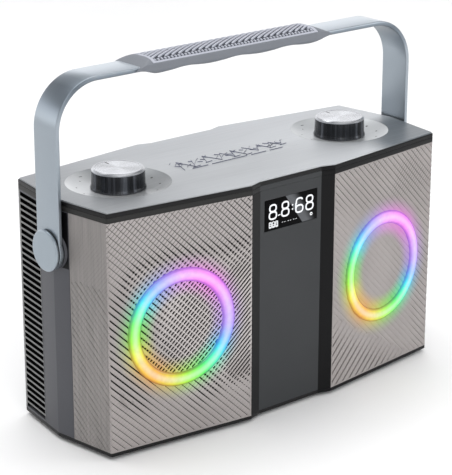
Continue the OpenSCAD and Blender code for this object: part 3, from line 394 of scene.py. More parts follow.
def skin(side, s, z, h):
    """Point of a speaker block's outer skin: s runs from the outer corner along the face to the
    middle, and below zero back along the side; h is the depth below the skin."""
    corner = Vector((CORNER[0], -CORNER[1], 0))
    d1 = Vector((-FACE_DX, -FACE_DY, 0)).normalized()
    d2 = Vector((SIDE_X - CORNER[0], CORNER[1], 0)).normalized()
    n1, n2 = Vector((-d1.y, d1.x, 0)), Vector((d2.y, -d2.x, 0))
    t = CORNER_ROUND
    if s >= t:
        p, n = corner + d1 * s, n1
    elif s <= -t:
        p, n = corner - d2 * s, n2
    else:
        u = (s + t) / (2 * t)
        p = corner + d2 * t * (1 - u) ** 2 + d1 * t * u ** 2
        n = (n2 * (1 - u) + n1 * u).normalized()
    p = p - n * h
    return Vector((side * p.x, p.y, z))


def face_axes(side):
    """Axes at a ring's centre: X along the face, Y up, Z out of it."""
    along = Vector((cos(TOE), side * sin(TOE), 0))
    out = Vector((side * sin(TOE), -cos(TOE), 0))
    return Vector((side * FACE_MID[0], FACE_MID[1], RING_Z)), along, Vector((0, 0, 1)), out


# materials

TRIM = finish("trim_black", (17, 17, 18), rough=0.42, spec=0.22, var=0.1, grain=2600, relief=0.2,
              radius=0.0003)
# paler grey copy of the trim's black for the left block: painted light
TRIM_LIT = finish("trim_painted_light", (38, 38, 37), rough=0.5, spec=0.22, var=0.06, grain=2200)
FRAME_GREY = finish("frame_grey", (72, 73, 78), rough=0.5, spec=0.3, var=0.05, grain=2400, relief=0.35)
SHELL_GREY = finish("shell_grey", (84, 85, 89), rough=0.55, spec=0.3, var=0.05, grain=2000, relief=0.4)
RIB_GREY = finish("vent_rib_grey", (114, 115, 114), rough=0.5, spec=0.3, var=0.05, grain=2000, relief=0.3)
# near-black: the vent screens' own colour, and painted shade on the walls of the vent slots
SCREEN_BLACK_AND_SLOT_SHADE = finish("screen_black_and_slot_shade", (3, 3, 4), rough=0.8, spec=0.05, var=0.2, grain=2000, relief=0.2, wear=0.0)
COLUMN = finish("column_grey", (50, 52, 54), rough=0.42, spec=0.25, var=0.05, grain=2600)
BLACK = finish("satin_black", (20, 20, 22), spec=0.3, var=0.1, grain=2500, relief=0.2)
RUBBER = finish("foot_rubber", (34, 34, 35), rough=0.8, spec=0.25, var=0.15, grain=1500, relief=0.6)
PANEL = finish("panel_dark", (48, 49, 53), rough=0.55, var=0.07, grain=2200, relief=0.45)
STEEL = finish("screw_steel", (150, 152, 158), rough=0.3, metal=1.0, grain=3000, relief=0.2)
# the strap's bends take painted shade and reflection by height
STRAP = finish("strap_metal", (158, 167, 175), rough=0.3, metal=0.85, var=0.015, blotch=14, grain=500,
               relief=0.0, spread=0.04, wear=0.0, radius=0.0, bend_shade=True)
CAP_METAL = finish("cap_metal", (152, 162, 170), rough=0.36, metal=0.7, var=0.03, blotch=20, grain=2200,
                   relief=0.12, depth=0.00001, wear=0.1, spread=0.06)
# near-black for painted shade: the right block's front, the column's side facets, the strap's shadow, the
# groove under the pivot caps, the washers and the screws' cross recesses
SHADE_BLACK = finish("painted_shade_black", (9, 9, 11), rough=0.4, spec=0.15, var=0.1, grain=2600, relief=0.15,
                    radius=0.0003)
GRIP = finish("grip_grey", (115, 119, 126), rough=0.5, spec=0.35, var=0.04, grain=1700, relief=0.4, wear=0.06)
PAD = finish("pad_rubber", (172, 175, 185), rough=0.62, spec=0.3, var=0.05, grain=1700, relief=0.4, wear=0.1)
GROOVE = finish("groove_grey", (58, 61, 70), rough=0.7, spec=0.2, var=0.06, grain=1700, relief=0.4)
BOARD = finish("board_green", (34, 92, 60), rough=0.35, var=0.15, blotch=200, grain=3000, relief=0.3)
CONE = finish("cone_dark", (44, 45, 48), rough=0.75, spec=0.2, var=0.12, grain=1200, relief=0.6)
CLOTH = finish("speaker_cloth", (24, 24, 25), rough=0.95, spec=0.1, var=0.2, blotch=300, grain=3500,
               relief=0.9, depth=0.0001)
WRAP = finish("battery_wrap", (60, 108, 170), rough=0.3, grain=2500)
WHITE_PRINT = finish("white_print", (225, 227, 230), rough=0.5, var=0.04, grain=3000, relief=0.1)
DARK_PRINT = finish("dark_print", (30, 31, 34), rough=0.5, var=0.1, grain=3000, relief=0.1)
RELIEF_INK = finish("relief_ink", (74, 78, 100), rough=0.3, metal=0.8, var=0.1, grain=2500, relief=0.2)
CHROME = finish("ring_chrome", (190, 192, 196), rough=0.2, metal=1.0, var=0.04, grain=2500, relief=0.1)


def knob_material():
    """Dark turned metal with painted reflections in upright streaks, paler in the groove at its foot."""
    s = Shader("knob_dark")
    turn = s.math("ARCTAN2", s.axis(1), s.sub(s.absolute(s.axis(0)), DIAL_X * MM))
    brush = s.noise(1400, 2, 0.5, (1.0, 1.0, 0.03))
    # painted reflections: lighter and darker upright streaks by angle round the knob
    tone = s.ramp(s.stripes(s.mul(turn, 3.0)), [(0.3, lin(18, 19, 21)), (0.5, lin(34, 36, 40)),
                                                (0.64, lin(78, 81, 87))])
    tone = s.mix(s.remap(brush, 0.35, 0.65, 0.0, 0.06), tone, lin(14, 15, 17))
    tone = s.mix(s.remap(s.axis(2), 0.1852, 0.1838, 0.0, 0.45), tone, lin(120, 122, 126))
    return s.set(Base_Color=tone, Metallic=0.45, Roughness=s.remap(brush, 0.3, 0.7, 0.22, 0.32),
                 Specular_IOR_Level=0.3, Normal=s.bump(brush, 0.02, 0.00001))


def top_material(name, dish):
    """Brushed metal: a satin sheet with painted light and shade: lighter towards the right, darker towards
    the back and at the front of the right end; in the dishes, painted shade on the left dish's right-hand
    slope.
    """
    s = Shader(name)
    x, y = s.axis(0), s.axis(1)
    darker = (0.84, 0.84, 0.85)
    if dish:
        # painted shade: the left dish darker on its right-hand slope, the right dish an even grey
        local = s.sub(s.absolute(s.add(x, s.mul(y, 0.3))), DIAL_X * MM)
        local = s.mul(local, s.math("SIGN", x))
        base = s.ramp(s.remap(local, -36 * MM, 36 * MM),
                      [(0.0, lin(206, 208, 210)), (0.42, lin(190, 192, 194)),
                       (0.66, lin(124, 127, 129)), (1.0, lin(140, 143, 145))])
        base = s.mix(s.remap(x, 0.0, 0.09), base, lin(186, 189, 191))
    else:
        # painted light and shade: lighter towards the right, darker towards the back
        base = s.ramp(s.remap(x, -0.17, 0.17),
                      [(0.0, lin(144, 147, 150)), (0.13, lin(152, 155, 158)), (0.28, lin(173, 176, 179)),
                       (0.5, lin(177, 180, 183)), (0.72, lin(187, 190, 193)), (1.0, lin(187, 190, 193))])
        base = s.mix(s.remap(y, 0.0, 0.045), base, s.times(base, darker))
        # painted shade at the front of the right end
        right_end_shade = s.mul(s.remap(x, 0.08, 0.118, smooth=True), s.remap(y, 0.014, -0.014, smooth=True))
        base = s.mix(right_end_shade, base, lin(106, 112, 117))
    brush = s.noise(900, 2, 0.5, (0.02, 1.0, 1.0))
    base = s.mix(s.remap(brush, 0.35, 0.65, 0.0, 0.09), base, s.times(base, darker))
    soft = s.node("Bevel", {"Radius": 0.0003}, samples=4)
    return s.set(Base_Color=base, Metallic=0.5, Roughness=s.remap(brush, 0.3, 0.7, 0.36, 0.46),
                 Normal=s.bump(brush, 0.06, 0.00001, soft))


def spun_material(name, color, rough):
    """Metal turned on a lathe: fine rings about the dial's axis, and painted highlights in lighter and darker
    sectors round it.
    """
    s = Shader(name)
    y = s.axis(1)
    off = s.sub(s.absolute(s.axis(0)), DIAL_X * MM)
    rings = s.stripes(s.mul(s.distance(off, y), 4200.0))
    turn = s.math("ARCTAN2", y, off)
    # painted highlights: lighter and darker sectors round the axis
    fan = s.math("SINE", s.add(s.mul(turn, 4.0), 0.6))
    wide_fan = s.math("SINE", s.add(s.mul(turn, 2.0), 2.1))
    level = s.remap(s.add(fan, s.mul(wide_fan, 0.7)), -1.5, 1.5, 0.82, 1.1)
    base = s.mix(s.remap(rings, 0.35, 0.65, 0.0, 0.4), color, shade(color, 0.86))
    return s.set(Base_Color=s.dim(base, level), Metallic=0.85, Anisotropic=0.5,
                 Roughness=s.remap(rings, 0.2, 0.8, rough - 0.05, rough + 0.08),
                 Normal=s.bump(rings, 0.12, 0.00001))


TOP_METAL, DISH_METAL = top_material("plate_brushed_painted_light_and_shade", False), top_material("dish_brushed_painted_shade", True)
KNOB_DARK = knob_material()
SPUN = spun_material("knob_silver", lin(186, 188, 192), 0.26)

# Colours of a lit ring, clockwise from the top
HUES = [(0.0, (240, 160, 255)), (0.055, (255, 150, 250)), (0.12, (255, 135, 250)), (0.2, (224, 160, 255)),
        (0.27, (190, 165, 255)), (0.315, (120, 190, 255)), (0.345, (60, 228, 255)), (0.385, (70, 255, 190)),
        (0.43, (96, 255, 110)), (0.49, (176, 248, 62)), (0.54, (236, 222, 50)), (0.6, (255, 186, 56)),
        (0.655, (255, 206, 40)), (0.7, (240, 246, 30)), (0.74, (165, 255, 62)), (0.79, (120, 255, 110)),
        (0.825, (84, 255, 190)), (0.86, (70, 235, 255)), (0.9, (130, 190, 255)), (0.95, (190, 170, 255)),
        (1.0, (240, 160, 255))]


def ring_nodes(s, side):
    """A point in the ring's own axes, its distance from the centre, and the ring's colour there."""
    centre = (side * FACE_MID[0] * MM, FACE_MID[1] * MM, RING_Z * MM)
    local = s.node("Mapping", {"Vector": s.coords, "Location": centre, "Rotation": (0, 0, side * TOE)},
                   vector_type="TEXTURE")
    x, depth, z = (s.axis(k, local) for k in range(3))
    turn = s.math("FRACT", s.add(s.math("DIVIDE", s.math("ARCTAN2", x, z), 2 * pi), 1.0))
    hue = s.ramp(turn, [(p, lin(*c)) for p, c in HUES])
    hue = s.node("HueSaturation", {"Saturation": 1.06, "Color": hue})
    return x, depth, z, s.distance(x, z), hue


def ring_material(name, side, lip=False):
    """Lit diffuser, whitest along its crest; the lip beside it is deeper in colour."""
    s = Shader(("ring_lip_" if lip else "ring_glow_") + name)
    r, hue = ring_nodes(s, side)[3:]
    if lip:
        deep = s.times(hue, (0.42, 0.3, 0.62))
    else:
        off = s.math("DIVIDE", s.absolute(s.sub(r, RING_MID * MM)), RING_HALF * MM)
        pale = s.mix(s.remap(off, 0.75, 0.05, 0.0, 0.32, smooth=True), hue, (1.0, 1.0, 1.0))
        rim = s.remap(off, 0.6, 0.98, 0.0, 0.95, smooth=True)
        deep = s.mix(rim, pale, s.times(hue, (0.56, 0.44, 0.7)))
    milky = s.noise(260, 3, 0.5)
    lit = s.dim(deep, s.mul(s.remap(milky, 0.3, 0.7, 0.92, 1.06), 0.95))
    return s.set(Base_Color=(0.04, 0.04, 0.045), Roughness=0.22, Emission_Color=lit, Emission_Strength=1.0,
                 Normal=s.bump(milky, 0.1, 0.00002))


# The two families of lines of the weave: their pitches and the directions across them
PITCH_A, PITCH_B = 4.1, 2.75
NA = (cos(radians(46)), sin(radians(46)))
NB = (cos(radians(-47)), sin(radians(-47)))
DET = NA[0] * NB[1] - NA[1] * NB[0]


def mesh_material(name, side):
    """Woven metal: fine crossing wires, with the rings' light painted on it near them, painted shade on the
    side facet and painted light and shade on the left face.
    """
    s = Shader("grille_mesh_" + name)
    x, depth, z, r, hue = ring_nodes(s, side)
    on_side = s.remap(depth, 0.9 * MM, 1.6 * MM)
    along = s.add(x, s.mul(s.mul(on_side, depth), float(side)))
    fine = s.noise(1500, 2, 0.5)
    base = s.mix(s.remap(s.noise(18, 3, 0.5), 0.3, 0.7), lin(154, 148, 146), lin(168, 162, 160))
    base = s.mix(s.remap(fine, 0.35, 0.65, 0.0, 0.35), base, lin(142, 136, 134))

    def wires(n, pitch, lo, hi):
        place = s.add(s.mul(along, n[0]), s.mul(z, n[1]))
        cell = s.math("FRACT", s.add(s.math("DIVIDE", place, pitch * MM), 0.5))
        return s.remap(s.absolute(s.sub(cell, 0.5)), lo, hi, 1.0, 0.0)

    # how dark the crossing wires are over the face
    if side < 0:
        # painted shade: the left face darker towards the top
        base = s.mix(s.remap(z, -10 * MM, 70 * MM, 0.0, 0.75), base, lin(150, 145, 143))
        lean = s.add(s.mul(x, 0.8), s.mul(z, 0.45))
        low = s.remap(s.sub(z, s.mul(x, 0.5)), -78 * MM, -48 * MM, 0.15, 1.0, smooth=True)
        grid = s.mul(s.remap(lean, -34 * MM, 2 * MM, 0.12, 1.0, smooth=True), low)
    else:
        patch = s.remap(s.noise(24, 2, 0.5), 0.42, 0.6)
        grid = s.mul(s.remap(z, 44 * MM, 66 * MM, 0.04, 0.75, smooth=True), patch)
    grid = s.mix(on_side, grid, s.remap(s.noise(30, 2, 0.5), 0.4, 0.62, 0.0, 0.25))
    cross = s.mul(wires(NB, PITCH_B, 0.06, 0.14), grid)
    if side < 0:
        # painted highlight: paler wires between the holes where the weave is open, most low on the face
        pale = s.mul(s.mul(grid, s.remap(z, 56 * MM, 22 * MM, 0.4, 1.0)), s.sub(1.0, on_side))
        base = s.mix(s.mul(pale, 0.8), base, lin(208, 202, 200))
    # painted shade: the side facet darker, as a whole and in upright streaks
    painted_streak = s.remap(s.noise(1.0, 3, 0.6, (500, 500, 14)), 0.35, 0.65)
    base = s.mix(s.mul(s.mul(painted_streak, on_side), 0.4), base, lin(96, 96, 94))
    base = s.mix(s.mul(on_side, 0.32), base, lin(96, 96, 93))
    weave = s.add(s.mul(wires(NA, PITCH_A / 4, 0.2, 0.3), 0.14),
                  s.mul(wires(NB, PITCH_B / 3, 0.2, 0.3), 0.12))
    base = s.mix(weave, base, lin(104, 98, 96))
    base = s.mix(s.mul(cross, 0.85), base, lin(52, 49, 49))

    # light of the ring on the mesh round it and within it
    away = s.remap(r, RING_R * MM, 58 * MM, 1.0, 0.0)
    away = s.mul(s.mul(away, away), s.remap(r, 44.6 * MM, 44.8 * MM))
    within = s.mul(s.remap(r, 22 * MM, 35.2 * MM, smooth=True), s.remap(r, 35.3 * MM, 35.2 * MM))
    near = s.add(away, within)
    ring_lit_base = s.mix(s.mul(near, 0.6), base, s.mix(0.75, hue, base, "MULTIPLY"))
    halo = s.mul(s.mul(near, 0.34 if side < 0 else 0.36), s.remap(cross, 0.0, 1.0, 1.0, 0.45))
    return s.set(Base_Color=ring_lit_base, Roughness=s.remap(fine, 0.3, 0.7, 0.42, 0.58), Metallic=0.2,
                 Emission_Color=s.dim(hue, halo), Emission_Strength=0.6,
                 Normal=s.bump(s.sub(fine, s.mul(cross, 2.0)), 0.3, 0.00004))


def digit_material():
    s = Shader("digit_glow")
    glow = s.mix(s.remap(s.noise(900), 0.3, 0.7), lin(236, 242, 250), lin(255, 255, 255))
    return s.set(Base_Color=(0.02, 0.02, 0.02), Roughness=0.3, Emission_Color=glow, Emission_Strength=1.1)


RING_MAT = {n: ring_material(n, k) for n, k in SIDES.items()}
LIP_MAT = {n: ring_material(n, k, True) for n, k in SIDES.items()}
MESH_MAT = {n: mesh_material(n, k) for n, k in SIDES.items()}
GLOW_WHITE = digit_material()

# grilles

def cell_point(a, b):
    """Place on the skin of the crossing of line a of one family and b of the other."""
    p, q = a * PITCH_A, b * PITCH_B
    return (p * NB[1] - q * NA[1]) / DET, (q * NA[0] - p * NB[0]) / DET


def left_openness(du, dz, r):
    """Woven part to the right of the face and round the ring, slits elsewhere."""
    steep = ease(du, 26, 46) * ease(66 - abs(dz + 6), 0, 34) if r > 46 else 0.0
    if r < 35.2:
        g = 0.3 + 0.85 * ease(0.8 * du - 0.35 * dz, -26, 2)
    else:
        right_part = 0.75 * ease(0.8 * du - 0.1 * dz, 2, 40)
        round_ring = 0.7 * ease(74 - hypot(du * 1.05, dz - 4), 0, 20) * ease(du + 0.9 * dz, -44, 4)
        low_left = 0.3 * ease(70 - hypot(du + 6, dz + 4), 0, 14) * ease(-du, 18, 40)
        g = max(right_part, round_ring, low_left)
        g *= ease(dz - 0.55 * du, -84, -58) * (1 - 0.8 * ease(dz, 42, 66))
    g = max(0.0, min(1.15, g))
    ha, hb = 0.05 + 0.28 * g, 0.5 - 0.22 * ease(g, 0.25, 0.7)
    hb = min(hb, 0.5 - 0.24 * ease(steep, 0.0, 0.45))
    ha = ha + (0.5 - ha) * ease(steep, 0.3, 1.0)
    return (ha if ha < 0.46 else 0.5), hb


def right_openness(du, dz, r, row):
    """Thin slits, and wider ones of the other family low at the left."""
    low = -0.6 * du - dz
    if low > 62 and r > 48:
        return (0.5, 0.02 + 0.2 * ease(low, 62, 84)) if row % 2 else (0.0, 0.0)
    if r < 36:
        g = 0.6 * ease(du, 8, 24) * ease(30 - dz, 0, 20)
    else:
        g = max(ease(dz + 0.25 * du, 38, 56), ease(du, 34, 48), 0.8 * ease(low, 46, 62))
    calm = ease(64 - r, 0, 14) * (1 - 0.6 * ease(-du, 10, 40)) + ease(du - 0.4 * dz, 24, 50)
    calm = min(1.0, calm + ease(low, 46, 60))
    return max(0.005, 0.016 + 0.04 * g - 0.011 * calm - 0.02 * ease(low, 46, 60)), 0.5


def openness(u, z, side, row):
    """Half widths of a cell's hole across the two families, as shares of their pitches."""
    du, dz = u - FACE_LEN / 2, z - RING_Z
    r = hypot(du, dz)
    if not 0 < u < FACE_LEN:
        wave = ease(sin(0.11 * z + 0.35 * du), 0.1, 0.9)
        return (0.02 + 0.035 * wave, 0.5) if z < 130 else (0.0, 0.0)
    return left_openness(du, dz, r) if side < 0 else right_openness(du, dz, r, row)


# Eight points round a cell, as shares of the two pitches, and the depths of the hole's wall:
# share of the way from the hole's edge to the cell's edge, then depth in millimetres
RIM = [(-.5, -.5), (0, -.5), (.5, -.5), (.5, 0), (.5, .5), (0, .5), (-.5, .5), (-.5, 0)]
WALL = ((1.0, 0.0), (0.55, 0.04), (0.0, 0.3), (0.0, 1.0))
CELL_SPAN, EDGE_GAP = 75, 0.05
DISC_R, HOLE_R = 34.9, 45.0


def lattice(side, disc):
    """Woven mesh of a grille, as a sheet with a hole in each cell."""
    cu, cz = FACE_LEN / 2, RING_Z
    lo_u, hi_u = (-SIDE_REACH, FACE_LEN) if side < 0 else (0.0, FACE_LEN + SIDE_REACH)
    limit = DISC_R if disc else HOLE_R
    shape = Shape()

    def place(u, z, h):
        du, dz = u - cu, z - cz
        r = hypot(du, dz)
        if (r > limit) if disc else (r < limit):
            k = limit / max(r, 1e-6)
            u, z = cu + du * k, cz + dz * k
        u = max(lo_u, min(hi_u, u))
        z = max(WALL_Z, min(TRIM_Z, z))
        return skin(side, u if side < 0 else FACE_LEN - u, z, h)

    def add_cell(i, j, ha, hb):
        """Hole of a cell; its wall is left out where it runs on into the next cell's hole."""
        layers = []
        for k, h in WALL:
            for a, b in RIM:
                ta = (copysign(ha, a) if a else 0) * (1 - k) + a * k
                tb = (copysign(hb, b) if b else 0) * (1 - k) + b * k
                u, z = cell_point(i + ta, j + tb)
                over = 0.0
                if k == 1.0 and not (a and b):
                    over = 0.06 if a else 0.12
                layers.append(place(u + cu, z + cz, h + over))
        faces = []
        for layer in range(3):
            for q in range(8):
                t = (q + 1) % 8
                open_end = any(h > 0.49 and RIM[q][n] and RIM[q][n] == RIM[t][n]
                               for n, h in ((0, ha), (1, hb)))
                if layer == 0 or not open_end:
                    a, b = layer * 8 + q, layer * 8 + t
                    faces.append((a, b, b + 8, a + 8))
        shape.add(layers, faces)

    for i in range(-CELL_SPAN, CELL_SPAN + 1):
        for j in range(-CELL_SPAN, CELL_SPAN + 1):
            corners = [cell_point(i + a, j + b) for a, b in RIM]
            far = [hypot(a, b) for a, b in corners]
            if (min(far) > limit - EDGE_GAP) if disc else (max(far) < limit + EDGE_GAP):
                continue
            if not (any(lo_u + EDGE_GAP < a + cu < hi_u - EDGE_GAP for a, b in corners)
                    and any(WALL_Z + EDGE_GAP < b + cz < TRIM_Z - EDGE_GAP for a, b in corners)):
                continue
            mu, mz = cell_point(i, j)
            ha, hb = openness(mu + cu, mz + cz, side, j)
            if ha:
                add_cell(i, j, ha, hb)
            else:
                shape.add([place(a + cu, b + cz, 0.06) for a, b in corners], [tuple(range(8))])
    return shape


HEM_W, HEM_DEPTH = 0.9, 1.5
CLOTH_LOW, CLOTH_H = WALL_Z + 0.6, 172.8


def grille_hem(side):
    """Folded rim along the free edges of a grille."""
    hem = Shape()
    for za, zb in ((WALL_Z, WALL_Z + HEM_W), (TRIM_Z - HEM_W, TRIM_Z)):
        rows = []
        for k in range(81):
            s = -SIDE_REACH + (FACE_LEN + SIDE_REACH) * k / 80
            rows.append([skin(side, s, z, h)
                         for z, h in ((za, HEM_DEPTH), (za, -0.02), (zb, -0.02), (zb, HEM_DEPTH))])
        hem.rings(rows, flip=side > 0, caps=(True, True))
    for sa, sb in ((FACE_LEN - 1.0, FACE_LEN), (-SIDE_REACH, -SIDE_REACH + 1.0)):
        rows = [[skin(side, s, z, h) for s, h in ((sa, HEM_DEPTH), (sa, -0.03), (sb, -0.03), (sb, HEM_DEPTH))]
                for z in (WALL_Z, 40, 91, 140, TRIM_Z)]
        hem.rings(rows, flip=side < 0, caps=(True, True))
    return hem


def grille_cloth(side):
    """Dark cloth just behind the mesh."""
    cloth = Shape()
    rows = []
    for k in range(97):
        s = -SIDE_REACH + 0.6 + (FACE_LEN + SIDE_REACH - 1.2) * k / 96
        rows.append([skin(side, s, z, 1.15 + 0.05 * sin(s * 1.7) * sin(z * 1.9))
                     for z in [CLOTH_LOW + CLOTH_H * q / 120 for q in range(121)]])
    cloth.rings(rows, closed=False, flip=side > 0)
    return cloth


for name, side in SIDES.items():
    for disc, tag in ((False, name + "_grille"), (True, name + "_centre_grille")):
        lattice(side, disc).build(tag + "_mesh", [MESH_MAT[name]], "grille_mesh", hides=tag, angle=50,
                                  merge=0.004)
    grille_hem(side).build(name + "_grille_hem", [MESH_MAT[name]], "grille_mesh")
    grille_cloth(side).build(name + "_grille_cloth", [CLOTH], "screen_black")

# ring lights

for name, side in SIDES.items():
    ring = Shape()
    dome = [radians(a) for a in range(0, 181, 9)]
    prof = [(RING_MID + RING_HALF * cos(a), 1.5 * sin(a)) for a in dome]
    prof = [(RING_MID + RING_HALF, -4.8)] + prof + [(RING_MID - RING_HALF, -4.8)]
    ring.lathe(prof, face_axes(side), 192, flip=True)
    ring.build(name + "_ring_diffuser", [RING_MAT[name]], "ring_diffuser", hides=name + "_ring_light",
               angle=60)
    lip = Shape()
    for r0, r1 in ((44.62, 45.15), (34.75, 35.28)):
        prof = [(r1, -1.2), (r1, 0.12), (r1 - 0.1, 0.22), (r0 + 0.1, 0.22), (r0, 0.12), (r0, -1.2)]
        lip.lathe(prof, face_axes(side), 192, flip=True)
    lip.build(name + "_ring_lip", [LIP_MAT[name]], "ring_diffuser", angle=60)

# base, trim and top


BLOCK_EDGE, COLUMN_EDGE, COLUMN_FRONT = 41.5, 30.4, -60
# front of the right block that takes painted shade: beyond this x and before this y, in millimetres
RIGHT_SHADE_X, RIGHT_SHADE_Y = 29.5, 2


def shade_right_front(shape):
    """Front faces of the right block take the second, near-black material: painted shade."""
    shape.m = [int(all(shape.v[i][0] > RIGHT_SHADE_X and shape.v[i][1] < RIGHT_SHADE_Y for i in f))
               for f in shape.f]


def dish_height(r):
    """Height of a dish's slope at a radius from the dial's axis."""
    t = max(0.0, (r - DISH_FLOOR_R) / (DISH_R - DISH_LIP - DISH_FLOOR_R))
    return DISH_Z + DISH_RISE * t ** DISH_POWER


base = Shape()
plate(base, BASE_Z, WALL_Z, 0.5)
# painted shade on the right block's front
shade_right_front(base)
base.build("base_shell", [TRIM, SHADE_BLACK], "base_black", hides="base_plate")
dish_holes = [circle(k * DIAL_X, DISH_R + 0.4, 128) for k in (-1, 1)]
trim = Shape()
plate(trim, TRIM_Z, COVER_Z, 0.3, dish_holes)
trim.m = []
for f in trim.f:
    cx, cy = (sum(trim.v[i][k] for i in f) / len(f) for k in (0, 1))
    middle = abs(cx) < COLUMN_EDGE and cy < COLUMN_FRONT
    right_front = cx > COLUMN_EDGE and cy < 0
    # the left block's trim takes the paler grey: painted light; the right block's front the near-black:
    # painted shade
    trim.m.append(0 if cx < -BLOCK_EDGE else 2 if middle else 3 if right_front else 1)
trim.build("trim_frame", [TRIM_LIT, TRIM, COLUMN, SHADE_BLACK], "trim_black", hides="top_trim")
cover = Shape()
plate(cover, COVER_Z, PLATE_Z, 0.45, dish_holes)
# painted shade on the right block's front
shade_right_front(cover)
cover.build("top_cover_shell", [TRIM, SHADE_BLACK], "trim_black", hides="top_cover")

top = Shape()
edge = [(0.0, PLATE_Z), (0.0, TOP_Z - 0.3), (0.1, TOP_Z - 0.09), (0.3, TOP_Z)]
top.rings([[(x, y, z) for x, y in outline(0.8 + k)] for k, z in edge])
flat(top, TOP_Z, outline(1.1), [circle(k * DIAL_X, DISH_R, 144) for k in (-1, 1)])
prof = [(DISH_R, TOP_Z), (DISH_R - DISH_LIP / 2, TOP_Z - 0.05), (DISH_R - DISH_LIP, TOP_Z - 0.22)]
for q in range(1, 13):
    r = DISH_FLOOR_R + (DISH_R - DISH_LIP - DISH_FLOOR_R) * (1 - q / 12)
    prof.append((r, dish_height(r)))
prof += [(DISH_FLOOR_R - 0.3, DISH_Z), (12.0, DISH_Z), (4.0, DISH_Z)]
for k in (-1, 1):
    top.lathe(prof, upright(k * DIAL_X), 144, m=1, flip=True)
top.build("top_plate_skin", [TOP_METAL, DISH_METAL], "plate_silver", hides="top_plate", angle=40)

# marks round the dials: dots that grow, a minus and a plus

marks = Shape()


def spot(cx, cy, rx, ry, dial):
    """Oval mark on the slope of a dish."""
    rings = []
    for grow, lift in ((1.0, -0.05), (1.0, 0.05), (0.8, 0.09)):
        ring = []
        for q in range(14):
            a = 2 * pi * q / 14
            x, y = cx + rx * cos(a) * grow, cy + ry * sin(a) * grow
            ring.append((x, y, dish_height(hypot(x - dial, y)) + lift))
        rings.append(ring)
    marks.rings(rings, caps=(False, True))


DOT_R, SIGN_R = 30.5, 34
for k in (-1, 1):
    dial = k * DIAL_X
    for q in range(11):
        a = radians(-240 + 30 * q)
        size = 0.55 + 0.045 * q
        spot(dial + DOT_R * cos(a), DOT_R * sin(a), size, size, dial)
    for degrees in (-252, 72):
        a = radians(degrees)
        x, y = dial + SIGN_R * cos(a), SIGN_R * sin(a)
        spot(x, y, 1.6, 0.35, dial)
        if degrees > 0:
            spot(x, y, 0.35, 1.6, dial)
marks.build("dial_marks", [DARK_PRINT], "trim_black")

# relief band: dark raised strokes on a silver strip

band = Shape()
BAND_Y, STRIP_Z = 1.0, TOP_Z + 0.03
BAND_X0, BAND_X1 = -56.5, 56.5
BAND_Y0, BAND_Y1 = BAND_Y - 12.5, BAND_Y + 12.5
strip = [(BAND_X0, BAND_Y0), (BAND_X1, BAND_Y0), (BAND_X1, BAND_Y1), (BAND_X0, BAND_Y1)]
flat(band, STRIP_Z, strip)
band.prism(strip, (TOP_Z - 0.3, STRIP_Z))


def twig(a, b, w=0.42):
    """Raised stroke of width w between two points of the band."""
    d = Vector((b[0] - a[0], b[1] - a[1], 0)).normalized()
    n = Vector((-d.y, d.x, 0))
    section = ((-0.5, 0.0), (-0.5, 0.3), (-0.25, 0.42), (0.25, 0.42), (0.5, 0.3), (0.5, 0.0))
    ends = [[Vector((p[0], p[1], TOP_Z + h)) + n * w * o for o, h in section] for p in (a, b)]
    band.rings(ends, closed=False, m=1, flip=True)
    k = len(band.v)
    band.f += [tuple(range(k - 12, k - 6)), tuple(range(k - 6, k))[::-1]]
    band.m += [1, 1]


def chance(q, k):
    """Fixed number between 0 and 1 for a pair of whole numbers."""
    v = sin(q * 12.9898 + k * 78.233) * 43758.5453
    return v - floor(v)


# a zigzag along the strip with short branches, over broken lines at the front edge
knots, x = [], BAND_X0 + 1.0
for q in range(40):
    y = BAND_Y + (3.5 + 7.5 * chance(q, 1) if q % 2 else -10.5 + 6.0 * chance(q, 2))
    if x < BAND_X1 - 3:
        knots.append((x, y))
    x += (4.2 + 2.4 * chance(q, 3)) if q % 2 else (6.2 + 2.6 * chance(q, 4))
for q, (a, b) in enumerate(zip(knots, knots[1:])):
    if q % 7 != 3:
        twig(a, b, 0.38)
    for n in range(2):
        t = 0.3 + 0.34 * n + 0.15 * chance(q, 6 + n)
        m = (a[0] + (b[0] - a[0]) * t, a[1] + (b[1] - a[1]) * t)
        reach = 3.0 + 2.6 * chance(q, 10 + n)
        end_x = m[0] + (1 if (n + q // 2) % 2 else -0.7) * reach
        end_x = max(BAND_X0 + 0.6, min(BAND_X1 - 0.6, end_x))
        end_y = m[1] + reach * (0.3 + 0.7 * chance(q, 14 + n))
        twig(m, (end_x, max(BAND_Y - 11.8, min(end_y, BAND_Y + 11.9))), 0.32)
    if q % 2 == 0 and q % 3:
        twig((a[0] - 1.5, a[1] - 0.4), (min(a[0] + 5.2, BAND_X1 - 0.8), a[1] + 0.5), 0.5)
for q in range(5):
    x = BAND_X0 + 8 + 19 * q
    end_x = min(x + 13 + 6 * chance(q, 22), BAND_X1 - 0.8)
    twig((x, BAND_Y - 11.4 + 0.8 * chance(q, 21)), (end_x, BAND_Y - 10.9), 0.45)
for q in range(5):
    twig((BAND_X0 + 0.8 + 2.2 * q, BAND_Y + 8 - 4.5 * q), (BAND_X0 + 3.6 + 2.4 * q, BAND_Y + 10.5 - 4.2 * q))
band.build("relief_lines", [TOP_METAL, RELIEF_INK], "relief_grey", hides="relief_band")

# knobs: profiles of (radius, height), and a printed pointer

